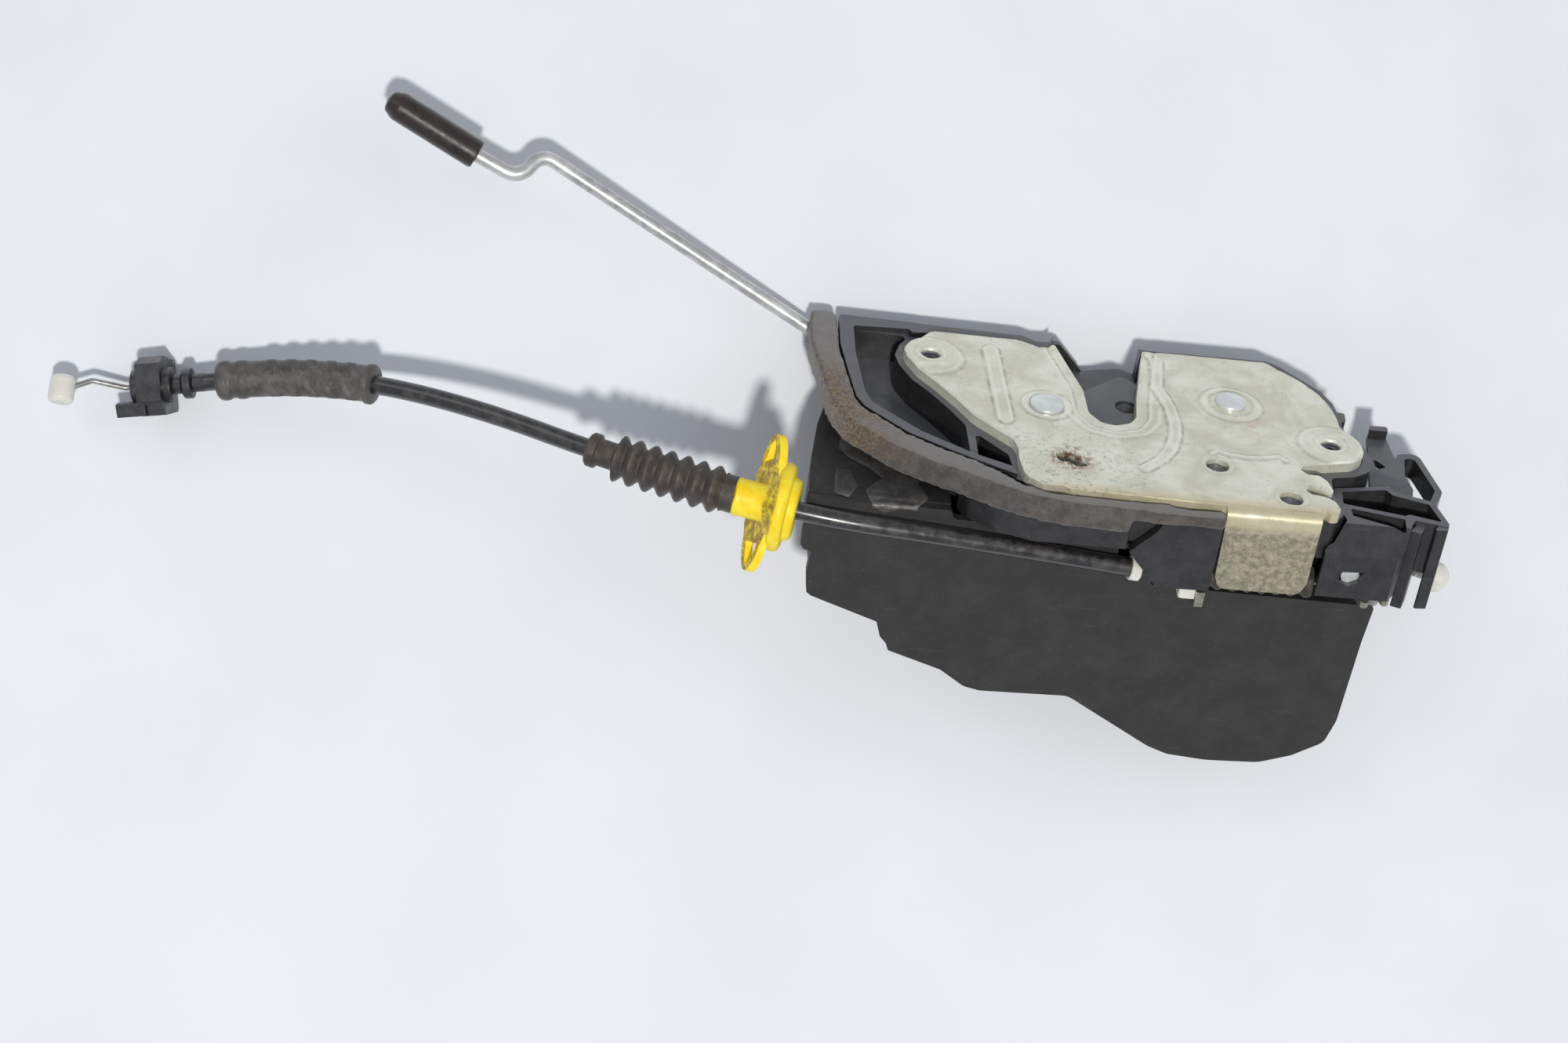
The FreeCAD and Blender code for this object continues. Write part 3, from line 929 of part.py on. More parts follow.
# two ears with a slot each
ear_dir = FreeCAD.Rotation(V(0, 0, 1), gdir)
up = V(0, 1, 0) - gdir * V(0, 1, 0).dot(gdir)
up.normalize()
side = up.cross(gdir)
MX = FreeCAD.Matrix(side.x, up.x, gdir.x, gpos.x, side.y, up.y, gdir.y, gpos.y, side.z, up.z, gdir.z, gpos.z, 0, 0, 0, 1)
gm.b.Placement = FreeCAD.Placement(MX)
gm.slab([[(-5.6, -10.0, 1), (-3.2, -17.6, 2.5), (3.2, -17.6, 2.5), (5.6, -10.0, 1), (5.6, 10.0, 1), (3.2, 17.6, 2.5), (-3.2, 17.6, 2.5), (-5.6, 10.0, 1)],
         ("c", 0, 0, 4.0),
         [(-3.0, 12.0, 0.6), (-1.8, 15.8, 1.2), (1.8, 15.8, 1.2), (3.0, 12.0, 0.6)],
         [(-3.0, -12.0, 0.6), (3.0, -12.0, 0.6), (1.8, -15.8, 1.2), (-1.8, -15.8, 1.2)]], 0.2, 2.4)

# end clip: block with a ferrule; its axis leaves the conduit's end
e_pos, e_dir = V(*ROUTE[-1]), V(*ROUTE[-1]) - V(*ROUTE[-2])
e_dir.normalize()
CLIP = along((e_pos.x, e_pos.y, e_pos.z), (e_dir.x, e_dir.y, e_dir.z))
zup = V(0, 0, 1) - e_dir * e_dir.z
zup.normalize()
lat = zup.cross(e_dir)
CM = FreeCAD.Matrix(lat.x, zup.x, e_dir.x, e_pos.x, lat.y, zup.y, e_dir.y, e_pos.y, lat.z, zup.z, e_dir.z, e_pos.z, 0, 0, 0, 1)
CLIP = FreeCAD.Placement(CM)
ec = Piece("cable_end_clip", CLIP)
ec.revolve([(0.95, 0.0), (2.4, 0.0), (2.4, 3.0), (4.0, 3.4, 0.4), (4.0, 5.4, 0.4), (2.6, 6.2), (2.6, 8.0), (4.6, 8.4, 0.5), (4.6, 19.0, 0.5), (0.95, 19.0)])
ec.pad("XY_Plane", [[(-6.6, -10.2, 0.8), (6.8, -10.2, 0.8), (7.8, 1.6, 0.8), (4.2, 6.4, 1.0), (-5.6, 6.0, 1.0), (-7.6, 1.0, 0.8)], ("c", 0, 0, 2.0)], 10.4, 6.4)
ec.pad("XY_Plane", [[(3.6, 2.2, 0.5), (7.4, 1.4, 0.5), (7.8, 4.6, 0.5), (4.4, 5.8, 0.5)]], 15.0, 7.6)
# wire: straight inside the clip, then cranked to the barrel
w0 = V(0, 0, 1.6)
wpts = [(0, 0, 1.6), (0, 0, 21.0), (-2.4, 3.4, 28.8), (-1.2, 5.5, 33.0)]
wire_edges = runs_and_arcs([tuple(p) for p in wpts], radii=[3.0, 2.2])
wt = tube(wire_edges, VAL["wire_rad"])
feature("pull_wire", wt, CLIP)
bl = Piece("wire_barrel", CLIP.multiply(FreeCAD.Placement(V(-0.6, 6.6, 36.0), FreeCAD.Rotation(V(0, 0, 1), V(1, 0.25, 0.15)))))
bl.revolve([(0, -3.6), (2.6, -3.6, 0.5), (3.3, -2.6, 0.6), (3.3, 2.6, 0.6), (2.6, 3.6, 0.5), (0, 3.6)])

# white fitting where the conduit enters the bracket
fx = Piece("conduit_fitting", TILT.multiply(FreeCAD.Placement(V(50.3, -55.55, -23.1), FreeCAD.Rotation(V(0, 0, 1), V(1, 0.03, -0.12)))))
fx.revolve([(2.5, 0.0), (3.2, 0.0, 0.3), (3.2, 2.6, 0.2), (2.5, 2.6)])

doc.recompute()

# ---------------------------------------------------------------------------
# check, then write one file for each sub-part
# ---------------------------------------------------------------------------
bad = []
for o in doc.Objects:
    st = o.State
    if "Invalid" in st or "Error" in st:
        bad.append((o.Name, st))
if bad:
    raise RuntimeError("failed objects: %s" % bad)
names = set()
for o in NODES:
    s = o.Shape
    if s.isNull() or not s.isValid() or len(s.Solids) == 0:
        raise RuntimeError("bad shape: " + o.Label)
    if o.Label in names:
        raise RuntimeError("name used twice: " + o.Label)
    names.add(o.Label)
os.makedirs("parts", exist_ok=True)
for f in os.listdir("parts"):
    if f.endswith(".step") and f[:-5] not in names:
        os.remove(os.path.join("parts", f))
for o in NODES:
    s = o.Shape
    s.exportStep(os.path.join("parts", o.Label + ".step"))
    bb = s.BoundBox
    print("%-22s solids %d  vol %9.1f  x %7.1f %7.1f  y %7.1f %7.1f  z %7.1f %7.1f" % (
        o.Label, len(s.Solids), s.Volume, bb.XMin, bb.XMax, bb.YMin, bb.YMax, bb.ZMin, bb.ZMax))
print("nodes", len(NODES))
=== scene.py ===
import json
import math
import random

import bmesh
import bpy
import numpy as np
from mathutils import Matrix, Vector, geometry, kdtree, noise

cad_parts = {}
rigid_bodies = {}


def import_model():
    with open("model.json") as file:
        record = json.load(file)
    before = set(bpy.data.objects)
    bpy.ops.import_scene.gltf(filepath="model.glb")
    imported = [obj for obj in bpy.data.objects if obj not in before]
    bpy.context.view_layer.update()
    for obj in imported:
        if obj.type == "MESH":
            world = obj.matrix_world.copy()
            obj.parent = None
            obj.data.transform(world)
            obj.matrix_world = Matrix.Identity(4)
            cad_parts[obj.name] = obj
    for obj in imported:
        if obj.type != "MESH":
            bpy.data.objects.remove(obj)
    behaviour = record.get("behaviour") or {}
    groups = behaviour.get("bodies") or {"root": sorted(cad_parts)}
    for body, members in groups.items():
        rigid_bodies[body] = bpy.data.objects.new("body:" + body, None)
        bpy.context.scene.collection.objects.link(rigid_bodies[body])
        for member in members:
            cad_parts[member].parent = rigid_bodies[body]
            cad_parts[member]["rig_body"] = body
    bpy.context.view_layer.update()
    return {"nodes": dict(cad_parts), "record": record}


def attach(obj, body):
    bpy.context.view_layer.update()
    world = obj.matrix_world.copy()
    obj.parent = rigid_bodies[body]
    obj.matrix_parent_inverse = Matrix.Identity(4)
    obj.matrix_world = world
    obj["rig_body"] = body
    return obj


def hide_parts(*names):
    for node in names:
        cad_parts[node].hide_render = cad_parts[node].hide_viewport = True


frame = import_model()
NODES = frame["nodes"]


random.seed(7)
scene = bpy.context.scene
COS, SIN = math.cos(math.radians(55.8)), math.sin(math.radians(55.8))


def P(x, y, z):
    """A point of the plate's own frame (mm) in the row frame (m)."""
    return Vector((x + 5.356, COS * y + SIN * z + 22.18, -SIN * y + COS * z + 26.57)) / 1000.0


PX, PY, PZ = Vector((1, 0, 0)), Vector((0, COS, -SIN)), Vector((0, SIN, COS))


def to_plate(p):
    """A point of the row frame (m) in the plate's own frame (mm)."""
    d = p * 1000.0 - Vector((5.356, 22.18, 26.57))
    return Vector((d.dot(PX), d.dot(PY), d.dot(PZ)))


# --------------------------------------------------------------------------
# camera
# --------------------------------------------------------------------------
cam = bpy.data.cameras.new("photo_camera")
cam.sensor_fit = "HORIZONTAL"
cam.sensor_width = 36.0
cam.lens = 76.266
cam.clip_start, cam.clip_end = 0.05, 30.0
camera = bpy.data.objects.new("photo_camera", cam)
scene.collection.objects.link(camera)
R, U, B = (0.9908128, 0.0863103, 0.1041188), (-0.0858137, 0.9962683, -0.0092479), (-0.1045285, 0.0002281, 0.9945219)
camera.matrix_world = Matrix(((R[0], U[0], B[0], -0.119173), (R[1], U[1], B[1], -0.024037), (R[2], U[2], B[2], 0.883257), (0, 0, 0, 1)))
scene.camera = camera
scene.view_settings.view_transform = "Standard"


# --------------------------------------------------------------------------
# mesh helpers
# --------------------------------------------------------------------------
def link(name, data):
    o = bpy.data.objects.new(name, data)
    scene.collection.objects.link(o)
    return o


def mesh_of(name, verts, faces, smooth=True):
    me = bpy.data.meshes.new(name)
    me.from_pydata([tuple(v) for v in verts], [], faces)
    me.validate()
    bm = bmesh.new()
    bm.from_mesh(me)
    bmesh.ops.recalc_face_normals(bm, faces=bm.faces)
    bm.to_mesh(me)
    bm.free()
    for p in me.polygons:
        p.use_smooth = smooth
    return link(name, me)


def sharpen(o, angle=35.0):
    """Marks the edges sharper than the angle, so that smooth shading breaks there."""
    bm = bmesh.new()
    bm.from_mesh(o.data)
    lim = math.radians(angle)
    for e in bm.edges:
        if len(e.link_faces) == 2:
            e.smooth = e.calc_face_angle(0) < lim
    bm.to_mesh(o.data)
    bm.free()
    return o


class Line:
    """A smooth line with its length, read from a curve's own spline."""

    def __init__(self, pts):
        self.p = [Vector(p) for p in pts]
        self.s = [0.0]
        for a, b in zip(self.p, self.p[1:]):
            self.s.append(self.s[-1] + (b - a).length)
        self.length = self.s[-1]

    def at(self, s):
        s = min(max(s, 0.0), self.length)
        k = max(0, min(len(self.p) - 2, int(np.searchsorted(self.s, s)) - 1))
        t = (s - self.s[k]) / max(1e-12, self.s[k + 1] - self.s[k])
        a = self.p[max(0, k - 1)]
        b = self.p[min(len(self.p) - 1, k + 2)]
        return self.p[k].lerp(self.p[k + 1], t), (b - a).normalized()


def read_line(curve_obj):
    data = curve_obj.data.copy()
    data.bevel_depth = 0.0
    tmp = link("reading", data)
    me = bpy.data.meshes.new_from_object(tmp.evaluated_get(bpy.context.evaluated_depsgraph_get()))
    pts = [v.co.copy() for v in me.vertices]
    bpy.data.objects.remove(tmp)
    return Line(pts)


def nurbs(name, pts, radius, resolution=16):
    c = bpy.data.curves.new(name, "CURVE")
    c.dimensions = "3D"
    c.bevel_depth = radius
    c.bevel_resolution = 6
    c.use_fill_caps = True
    sp = c.splines.new("NURBS")
    sp.points.add(len(pts) - 1)
    for q, p in zip(sp.points, pts):
        q.co = (p[0], p[1], p[2], 1.0)
    sp.order_u = 3
    sp.use_endpoint_u = True
    sp.resolution_u = resolution
    return link(name, c)


def sweep(name, line, stations, segs=48, up=Vector((0, 0, 1)), bump=None):
    """A tube along a line. stations are (s, r) in metres; bump adds to r at (s, angle)."""
    verts, faces = [], []
    for s, r in stations:
        p, t = line.at(s)
        u = (up - t * up.dot(t)).normalized()
        w = t.cross(u)
        for k in range(segs):
            a = 2 * math.pi * k / segs
            q = r + (bump(s, a) if bump else 0.0)
            verts.append(p + (u * math.cos(a) + w * math.sin(a)) * q)
    n = len(stations)
    for i in range(n - 1):
        for k in range(segs):
            j = (k + 1) % segs
            faces.append((i * segs + k, i * segs + j, (i + 1) * segs + j, (i + 1) * segs + k))
    faces.append(tuple(range(segs)))
    faces.append(tuple((n - 1) * segs + k for k in range(segs)))
    return mesh_of(name, verts, faces)


def smooth01(t):
    t = min(1.0, max(0.0, t))
    return t * t * (3 - 2 * t)


# --------------------------------------------------------------------------
# the release cable's sheath
# --------------------------------------------------------------------------
ROUTE = [
    (0.058956, -0.028371, 0.059321),
    (0.014856, -0.024856, 0.063402),
    (-0.030644, -0.022243, 0.065783),
    (-0.079144, -0.01122, 0.05107),
    (-0.106644, -0.00342, 0.04057),
    (-0.132044, 0.00138, 0.02997),
    (-0.150644, 0.00218, 0.02177),
    (-0.166844, 0.00098, 0.01617),
    (-0.180644, -0.00122, 0.01347),
]
conduit = nurbs("conduit", ROUTE, 0.0024)
cable = read_line(conduit)
LEN = cable.length


# --------------------------------------------------------------------------
# floor and light
# --------------------------------------------------------------------------
floor_me = bpy.data.meshes.new("floor")
floor_me.from_pydata([(-4, -4, 0), (4, -4, 0), (4, 4, 0), (-4, 4, 0)], [], [(0, 1, 2, 3)])
floor = link("floor", floor_me)
floor.location.z = -0.0002


def area_light(name, at, target, size, power, colour=(1, 1, 1), size_y=None):
    d = bpy.data.lights.new(name, "AREA")
    d.shape = "RECTANGLE" if size_y else "DISK"
    d.size = size
    if size_y:
        d.size_y = size_y
    d.energy = power
    d.color = colour
    o = link(name, d)
    o.location = at
    o.rotation_euler = (Vector(target) - Vector(at)).to_track_quat("-Z", "Y").to_euler()
    return o


area_light("key", (-0.06, -0.50, 2.05), (-0.04, 0.0, 0.0), 0.13, 27.5, (1.0, 0.985, 0.955))
area_light("fill", (-1.3, 0.9, 1.5), (0.0, 0.0, 0.03), 1.2, 3.0, (0.93, 0.96, 1.0))
area_light("side", (1.4, 0.5, 1.2), (0.0, 0.0, 0.03), 1.2, 2.0, (1.0, 0.98, 0.95))
world = bpy.data.worlds.new("studio")
world.use_nodes = True
world.node_tree.nodes["Background"].inputs["Color"].default_value = (0.86, 0.91, 1.0, 1)
world.node_tree.nodes["Background"].inputs["Strength"].default_value = 0.42
scene.world = world


# --------------------------------------------------------------------------
# materials
# --------------------------------------------------------------------------
def lin(c):
    return tuple((v / 255 / 12.92) if v <= 10 else ((v / 255 + 0.055) / 1.055) ** 2.4 for v in c) + (1.0,)


class Look:
    """One procedural material: colour, roughness and relief from noise in the object's own space."""

    def __init__(self, name, metallic=0.0, spec=0.5, coat=0.0, coat_rough=0.2, sheen=0.0, trans=0.0):
        self.m = bpy.data.materials.new(name)
        self.m.use_nodes = True
        self.t = self.m.node_tree
        self.t.nodes.clear()
        self.out = self.t.nodes.new("ShaderNodeOutputMaterial")
        self.b = self.t.nodes.new("ShaderNodeBsdfPrincipled")
        self.t.links.new(self.b.outputs[0], self.out.inputs["Surface"])
        self.b.inputs["Metallic"].default_value = metallic
        self.b.inputs["Specular IOR Level"].default_value = spec
        self.b.inputs["Coat Weight"].default_value = coat
        self.b.inputs["Coat Roughness"].default_value = coat_rough
        self.b.inputs["Sheen Weight"].default_value = sheen
        self.co = self.t.nodes.new("ShaderNodeTexCoord").outputs["Object"]
        self.geo = None

    def put(self, node, key, value):
        if value is None:
            return
        if hasattr(value, "is_linked") or hasattr(value, "node"):
            self.t.links.new(value, node.inputs[key])
        else:
            node.inputs[key].default_value = value

    def place(self, stretch=(1, 1, 1), rot=(0, 0, 0), shift=(0, 0, 0)):
        n = self.t.nodes.new("ShaderNodeMapping")
        self.t.links.new(self.co, n.inputs["Vector"])
        n.inputs["Scale"].default_value = stretch
        n.inputs["Rotation"].default_value = rot
        n.inputs["Location"].default_value = shift
        return n.outputs["Vector"]

    def noise(self, size_mm, detail=3.0, rough=0.55, warp=0.0, vec=None, stretch=None):
        n = self.t.nodes.new("ShaderNodeTexNoise")
        if vec is None:
            vec = self.place(stretch) if stretch else self.co
        self.t.links.new(vec, n.inputs["Vector"])
        n.inputs["Scale"].default_value = 1000.0 / size_mm
        n.inputs["Detail"].default_value = detail
        n.inputs["Roughness"].default_value = rough
        n.inputs["Distortion"].default_value = warp
        return n.outputs["Fac"]

    def cells(self, size_mm, vec=None, out="Distance", feature="F1"):
        n = self.t.nodes.new("ShaderNodeTexVoronoi")
        n.feature = feature
        self.t.links.new(vec or self.co, n.inputs["Vector"])
        n.inputs["Scale"].default_value = 1000.0 / size_mm
        return n.outputs[out]

    def ramp(self, fac, lo, hi, a=0.0, b=1.0):
        n = self.t.nodes.new("ShaderNodeMapRange")
        n.interpolation_type = "SMOOTHSTEP"
        n.clamp = True
        self.put(n, "Value", fac)
        n.inputs["From Min"].default_value = lo
        n.inputs["From Max"].default_value = hi
        n.inputs["To Min"].default_value = a
        n.inputs["To Max"].default_value = b
        return n.outputs["Result"]

    def calc(self, op, a, b=None, clamp=False):
        n = self.t.nodes.new("ShaderNodeMath")
        n.operation = op
        n.use_clamp = clamp
        for k, v in enumerate((a, b)):
            if v is None:
                continue
            if isinstance(v, (int, float)):
                n.inputs[k].default_value = v
            else:
                self.t.links.new(v, n.inputs[k])
        return n.outputs[0]

    def mix(self, fac, a, b):
        n = self.t.nodes.new("ShaderNodeMix")
        n.data_type = "RGBA"
        for key, v in (("Factor", fac), ("A", a), ("B", b)):
            sock = [s for s in n.inputs if s.name == key and s.type == ("VALUE" if key == "Factor" else "RGBA")][0]
            if isinstance(v, tuple):
                sock.default_value = v
            elif isinstance(v, (int, float)):
                sock.default_value = v
            else:
                self.t.links.new(v, sock)
        return [s for s in n.outputs if s.type == "RGBA"][0]

    def facing(self, axis=(0, 0, 1), lo=0.3, hi=0.95):
        """1 where the surface looks along axis."""
        g = self.t.nodes.new("ShaderNodeNewGeometry")
        d = self.t.nodes.new("ShaderNodeVectorMath")
        d.operation = "DOT_PRODUCT"
        self.t.links.new(g.outputs["Normal"], d.inputs[0])
        d.inputs[1].default_value = axis
        return self.ramp(d.outputs["Value"], lo, hi)

    def along(self, axis, at_mm, soft_mm):
        """0 before a place on an axis of the row frame and 1 after it."""
        d = self.t.nodes.new("ShaderNodeVectorMath")
        d.operation = "DOT_PRODUCT"
        self.t.links.new(self.co, d.inputs[0])
        d.inputs[1].default_value = axis
        return self.ramp(d.outputs["Value"], (at_mm - soft_mm) / 1000, (at_mm + soft_mm) / 1000)

    def spot(self, centre, r0_mm, r1_mm):
        """1 inside r0 of a point and 0 beyond r1."""
        d = self.t.nodes.new("ShaderNodeVectorMath")
        d.operation = "DISTANCE"
        self.t.links.new(self.co, d.inputs[0])
        d.inputs[1].default_value = tuple(centre)
        return self.ramp(d.outputs["Value"], r0_mm / 1000, r1_mm / 1000, 1.0, 0.0)

    def attribute(self, name):
        n = self.t.nodes.new("ShaderNodeAttribute")
        n.attribute_name = name
        return n.outputs["Fac"]

    def relief(self, *layers):
        """layers are (height, strength, distance_mm), laid one on another."""
        last = None
        for h, strength, dist in layers:
            n = self.t.nodes.new("ShaderNodeBump")
            n.inputs["Strength"].default_value = strength
            n.inputs["Distance"].default_value = dist / 1000.0
            self.t.links.new(h, n.inputs["Height"])
            if last is not None:
                self.t.links.new(last, n.inputs["Normal"])
            last = n.outputs["Normal"]
        self.t.links.new(last, self.b.inputs["Normal"])
        return self

    def colour(self, c):
        self.t.links.new(c, self.b.inputs["Base Color"])
        return self

    def rough(self, r):
        self.t.links.new(r, self.b.inputs["Roughness"])
        return self


def moulded(name, dark, light, dust, grain=0.35, rough=(0.3, 0.55), dusty=0.6, specks=0.5, spec=0.5, coat=0.0, scratch=0.5, painted_front_highlight=0.0):
    """Moulded black plastic: mottled, with fine grain, dust on top faces, pale specks and scuffs, and, when asked, a
    painted highlight on faces that look along the plate's normal.
    """
    k = Look(name, spec=spec, coat=coat)
    base = k.mix(k.ramp(k.noise(9, 4), 0.35, 0.7), lin(dark), lin(light))
    top = k.facing(lo=0.55, hi=1.0)
    soil = k.calc("MULTIPLY", top, k.ramp(k.noise(5, 5, 0.65, 0.4), 0.25, 0.75, 0.35 * dusty, dusty))
    base = k.mix(soil, base, lin(dust))
    # painted highlight: faces that look along the plate's normal are lightened towards pale grey
    if painted_front_highlight:
        base = k.mix(k.calc("MULTIPLY", k.facing(tuple(PZ), 0.86, 0.99), painted_front_highlight), base, lin((98, 98, 102)))
    dots = k.ramp(k.noise(0.55, 2, 0.6), 0.68, 0.78, 0.0, specks)
    base = k.mix(dots, base, lin(tuple(min(255, v + 70) for v in dust)))
    lines = k.ramp(k.noise(1.4, 2, 0.5, 0.0, stretch=(0.12, 1.0, 1.0)), 0.66, 0.74, 0.0, 0.16 * scratch)
    base = k.mix(lines, base, lin(tuple(min(255, v + 45) for v in dust)))
    k.colour(base)
    k.rough(k.ramp(k.noise(3, 5), 0.3, 0.7, rough[0], rough[1]))
    k.relief((k.noise(grain, 3, 0.6), 0.25, 0.05), (k.noise(14, 2), 0.25, 0.4))
    return k.m


def metal(name, dark, light, soil, rough=(0.28, 0.45), grain=0.4, stain=0.3, metallic=0.9, streak=None, specks=0.4):
    k = Look(name, metallic=metallic, spec=0.5)
    base = k.mix(k.ramp(k.noise(6, 5, 0.6, 0.5), 0.3, 0.7), lin(dark), lin(light))
    base = k.mix(k.ramp(k.noise(2.2, 4, 0.7), 0.56, 0.74, 0.0, stain), base, lin(soil))
    base = k.mix(k.ramp(k.noise(0.5, 2, 0.5), 0.7, 0.76, 0.0, specks), base, lin(tuple(int(v * 0.4) for v in soil)))
    k.colour(base)
    k.rough(k.ramp(k.noise(2.5, 5, 0.6, stretch=streak), 0.25, 0.75, rough[0], rough[1]))
    k.relief((k.noise(grain, 3, 0.6, stretch=streak), 0.3, 0.04), (k.noise(9, 2), 0.2, 0.3))
    return k.m


def rubber(name, dark, light, dust, rough=(0.5, 0.75), dusty=0.5, spec=0.35, sub=0.0):
    k = Look(name, spec=spec, sheen=0.15)
    base = k.mix(k.ramp(k.noise(6, 4), 0.3, 0.7), lin(dark), lin(light))
    base = k.mix(k.calc("MULTIPLY", k.facing(lo=0.4, hi=1.0), k.ramp(k.noise(2.5, 5, 0.65), 0.35, 0.7, 0.1, dusty)), base, lin(dust))
    base = k.mix(k.ramp(k.noise(0.4, 2), 0.66, 0.76, 0.0, 0.5), base, lin(dust))
    k.colour(base)
    k.rough(k.ramp(k.noise(2, 4), 0.3, 0.7, rough[0], rough[1]))
    k.relief((k.noise(0.3, 3), 0.3, 0.05), (k.noise(5, 3), 0.3, 0.3))
    if sub:
        k.b.inputs["Subsurface Weight"].default_value = sub
        k.b.inputs["Subsurface Radius"].default_value = (0.002, 0.0016, 0.0014)
        k.b.inputs["Subsurface Scale"].default_value = 0.6
    return k.m


MAT = {}


# zinc-plated steel plate: yellowish bright zinc, cloudy, with scratches, dark specks, rust and a dirty lower left edge
def plate_look(name, worked=False):
    k = Look(name, metallic=0.5, spec=0.5)
    cloud = k.ramp(k.noise(11, 5, 0.6, 0.6), 0.3, 0.7)
    base = k.mix(cloud, lin((216, 214, 193)), lin((242, 241, 224)))
    base = k.mix(k.ramp(k.noise(4.0, 5, 0.7, 1.2), 0.54, 0.78, 0.0, 0.45), base, lin((168, 160, 128)))
    # the shaded underside edge of the bracket keeps a golden passivation
    gold = k.calc("MULTIPLY", k.calc("SUBTRACT", 1.0, k.along(tuple(PY), (-57.0 + 0.0), 2.2)), 0.85)
    d = PY.dot(Vector((0, 22.18, 26.57)))
    gold = k.calc("SUBTRACT", 1.0, k.along(tuple(PY), -56.0 + d, 2.5))
    base = k.mix(k.calc("MULTIPLY", gold, 0.6), base, lin((212, 196, 148)))
    deep = k.calc("SUBTRACT", 1.0, k.along(tuple(PZ), PZ.dot(Vector((0, 22.18, 26.57))) - 5.0, 2.0))
    mott = k.ramp(k.noise(1.6, 5, 0.75), 0.35, 0.65)
    base = k.mix(k.calc("MULTIPLY", k.calc("MULTIPLY", gold, deep), 0.9), base, k.mix(mott, lin((134, 128, 110)), lin((190, 182, 156))))
    # soiled lower left
    low = k.calc("SUBTRACT", 1.0, k.along(tuple((PY + PX * -0.12).normalized()), (PY + PX * -0.12).normalized().dot(Vector((0, 22.18, 26.57))) - 36.0, 9.0))
    soil = k.calc("MULTIPLY", low, k.ramp(k.noise(1.3, 5, 0.75), 0.53, 0.66, 0.0, 0.6))
    soil = k.calc("MULTIPLY", soil, k.calc("SUBTRACT", 1.0, k.along((1, 0, 0), 52.0, 14.0)))
    base = k.mix(soil, base, lin((84, 74, 60)))
    rust = k.calc("MULTIPLY", k.spot(P(32.6, -44, 0), 3.0, 7.5), k.ramp(k.noise(1.6, 5, 0.7), 0.42, 0.6, 0.0, 0.9))
    base = k.mix(rust, base, lin((122, 70, 38)))
    pink = k.calc("MULTIPLY", k.spot(P(82, -22, 0), 2.0, 9.0), k.ramp(k.noise(5, 4), 0.45, 0.65, 0.0, 0.25))
    base = k.mix(pink, base, lin((214, 150, 150)))
    base = k.mix(k.ramp(k.noise(0.62, 2, 0.5), 0.7, 0.75, 0.0, 0.7), base, lin((54, 48, 40)))
    scr = k.ramp(k.noise(2.0, 2, 0.5, 0.3, vec=k.place((0.1, 1.0, 0.6), (0.2, 0.1, 0.7))), 0.66, 0.7, 0.0, 0.35)
    base = k.mix(scr, base, lin((240, 240, 232)))
    if worked:
        # painted light on the pressed steps: a darker foot, partly dirt in the groove and partly painted shade, and a
        # painted highlight on each shoulder
        foot = k.attribute("foot")
        crest_highlight = k.attribute("crest_highlight")
        base = k.mix(k.calc("MULTIPLY", foot, k.ramp(k.noise(2.0, 4), 0.3, 0.7, 0.1, 0.6)), base, lin((140, 134, 112)))
        base = k.mix(k.calc("MULTIPLY", crest_highlight, 0.6), base, lin((252, 251, 240)))
    k.colour(base)
    k.rough(k.ramp(k.noise(3.2, 5, 0.65), 0.25, 0.75, 0.26, 0.48))
    k.relief((k.noise(0.28, 3, 0.65), 0.22, 0.03), (k.noise(1.7, 3), 0.18, 0.05), (k.noise(12, 2), 0.3, 0.25))
    return k.m


MAT["plate_zinc"] = plate_look("zinc_plate")
PRESSED = plate_look("zinc_plate_pressed", worked=True)
MAT["plate_zinc_back"] = metal("zinc_back", (150, 146, 128), (188, 184, 164), (110, 96, 70), stain=0.5)
MAT["pin_steel"] = metal("rivet_steel", (214, 217, 216), (238, 240, 239), (170, 166, 156), rough=(0.3, 0.45), stain=0.2, metallic=0.5)
MAT["steel_dark"] = metal("claw_steel", (96, 96, 98), (136, 136, 138), (70, 60, 50), rough=(0.3, 0.5))
MAT["screw_steel"] = metal("screw_steel", (120, 120, 122), (160, 160, 162), (90, 80, 66))
MAT["spring_steel"] = metal("spring_steel", (120, 120, 124), (165, 165, 170), (90, 80, 66), rough=(0.2, 0.35))
MAT["lever_steel"] = metal("lever_steel", (165, 162, 148), (198, 195, 180), (130, 116, 84))
MAT["motor_steel"] = metal("motor_steel", (150, 152, 156), (186, 188, 192), (110, 108, 100), streak=(0.2, 1, 1))
MAT["brass_strip"] = metal("brass_strip", (186, 150, 84), (214, 180, 112), (130, 100, 54))
MAT["brass_gear"] = metal("brass_gear", (190, 156, 88), (220, 188, 118), (134, 104, 58))
MAT["wire_steel"] = metal("wire_steel", (150, 148, 142), (196, 194, 188), (96, 84, 64), rough=(0.25, 0.45))
MAT["rod_zinc"] = metal("rod_zinc", (178, 180, 178), (220, 221, 218), (132, 124, 104), rough=(0.3, 0.5), stain=0.45, metallic=0.65)
MAT["claw_plastic"] = moulded("claw_plastic", (56, 58, 62), (74, 77, 81), (100, 101, 103), rough=(0.15, 0.32), dusty=0.5, coat=0.3, spec=0.6)
MAT["plastic_black"] = moulded("housing_plastic", (28, 28, 29), (39, 38, 39), (80, 79, 81), rough=(0.24, 0.45), dusty=0.6, painted_front_highlight=0.85)
MAT["plastic_cover"] = moulded("cover_plastic", (36, 34, 34), (46, 44, 43), (66, 63, 62), rough=(0.48, 0.68), dusty=0.5, specks=0.45)
MAT["plastic_inner"] = moulded("inner_plastic", (28, 28, 30), (40, 40, 42), (72, 72, 74), rough=(0.3, 0.55))
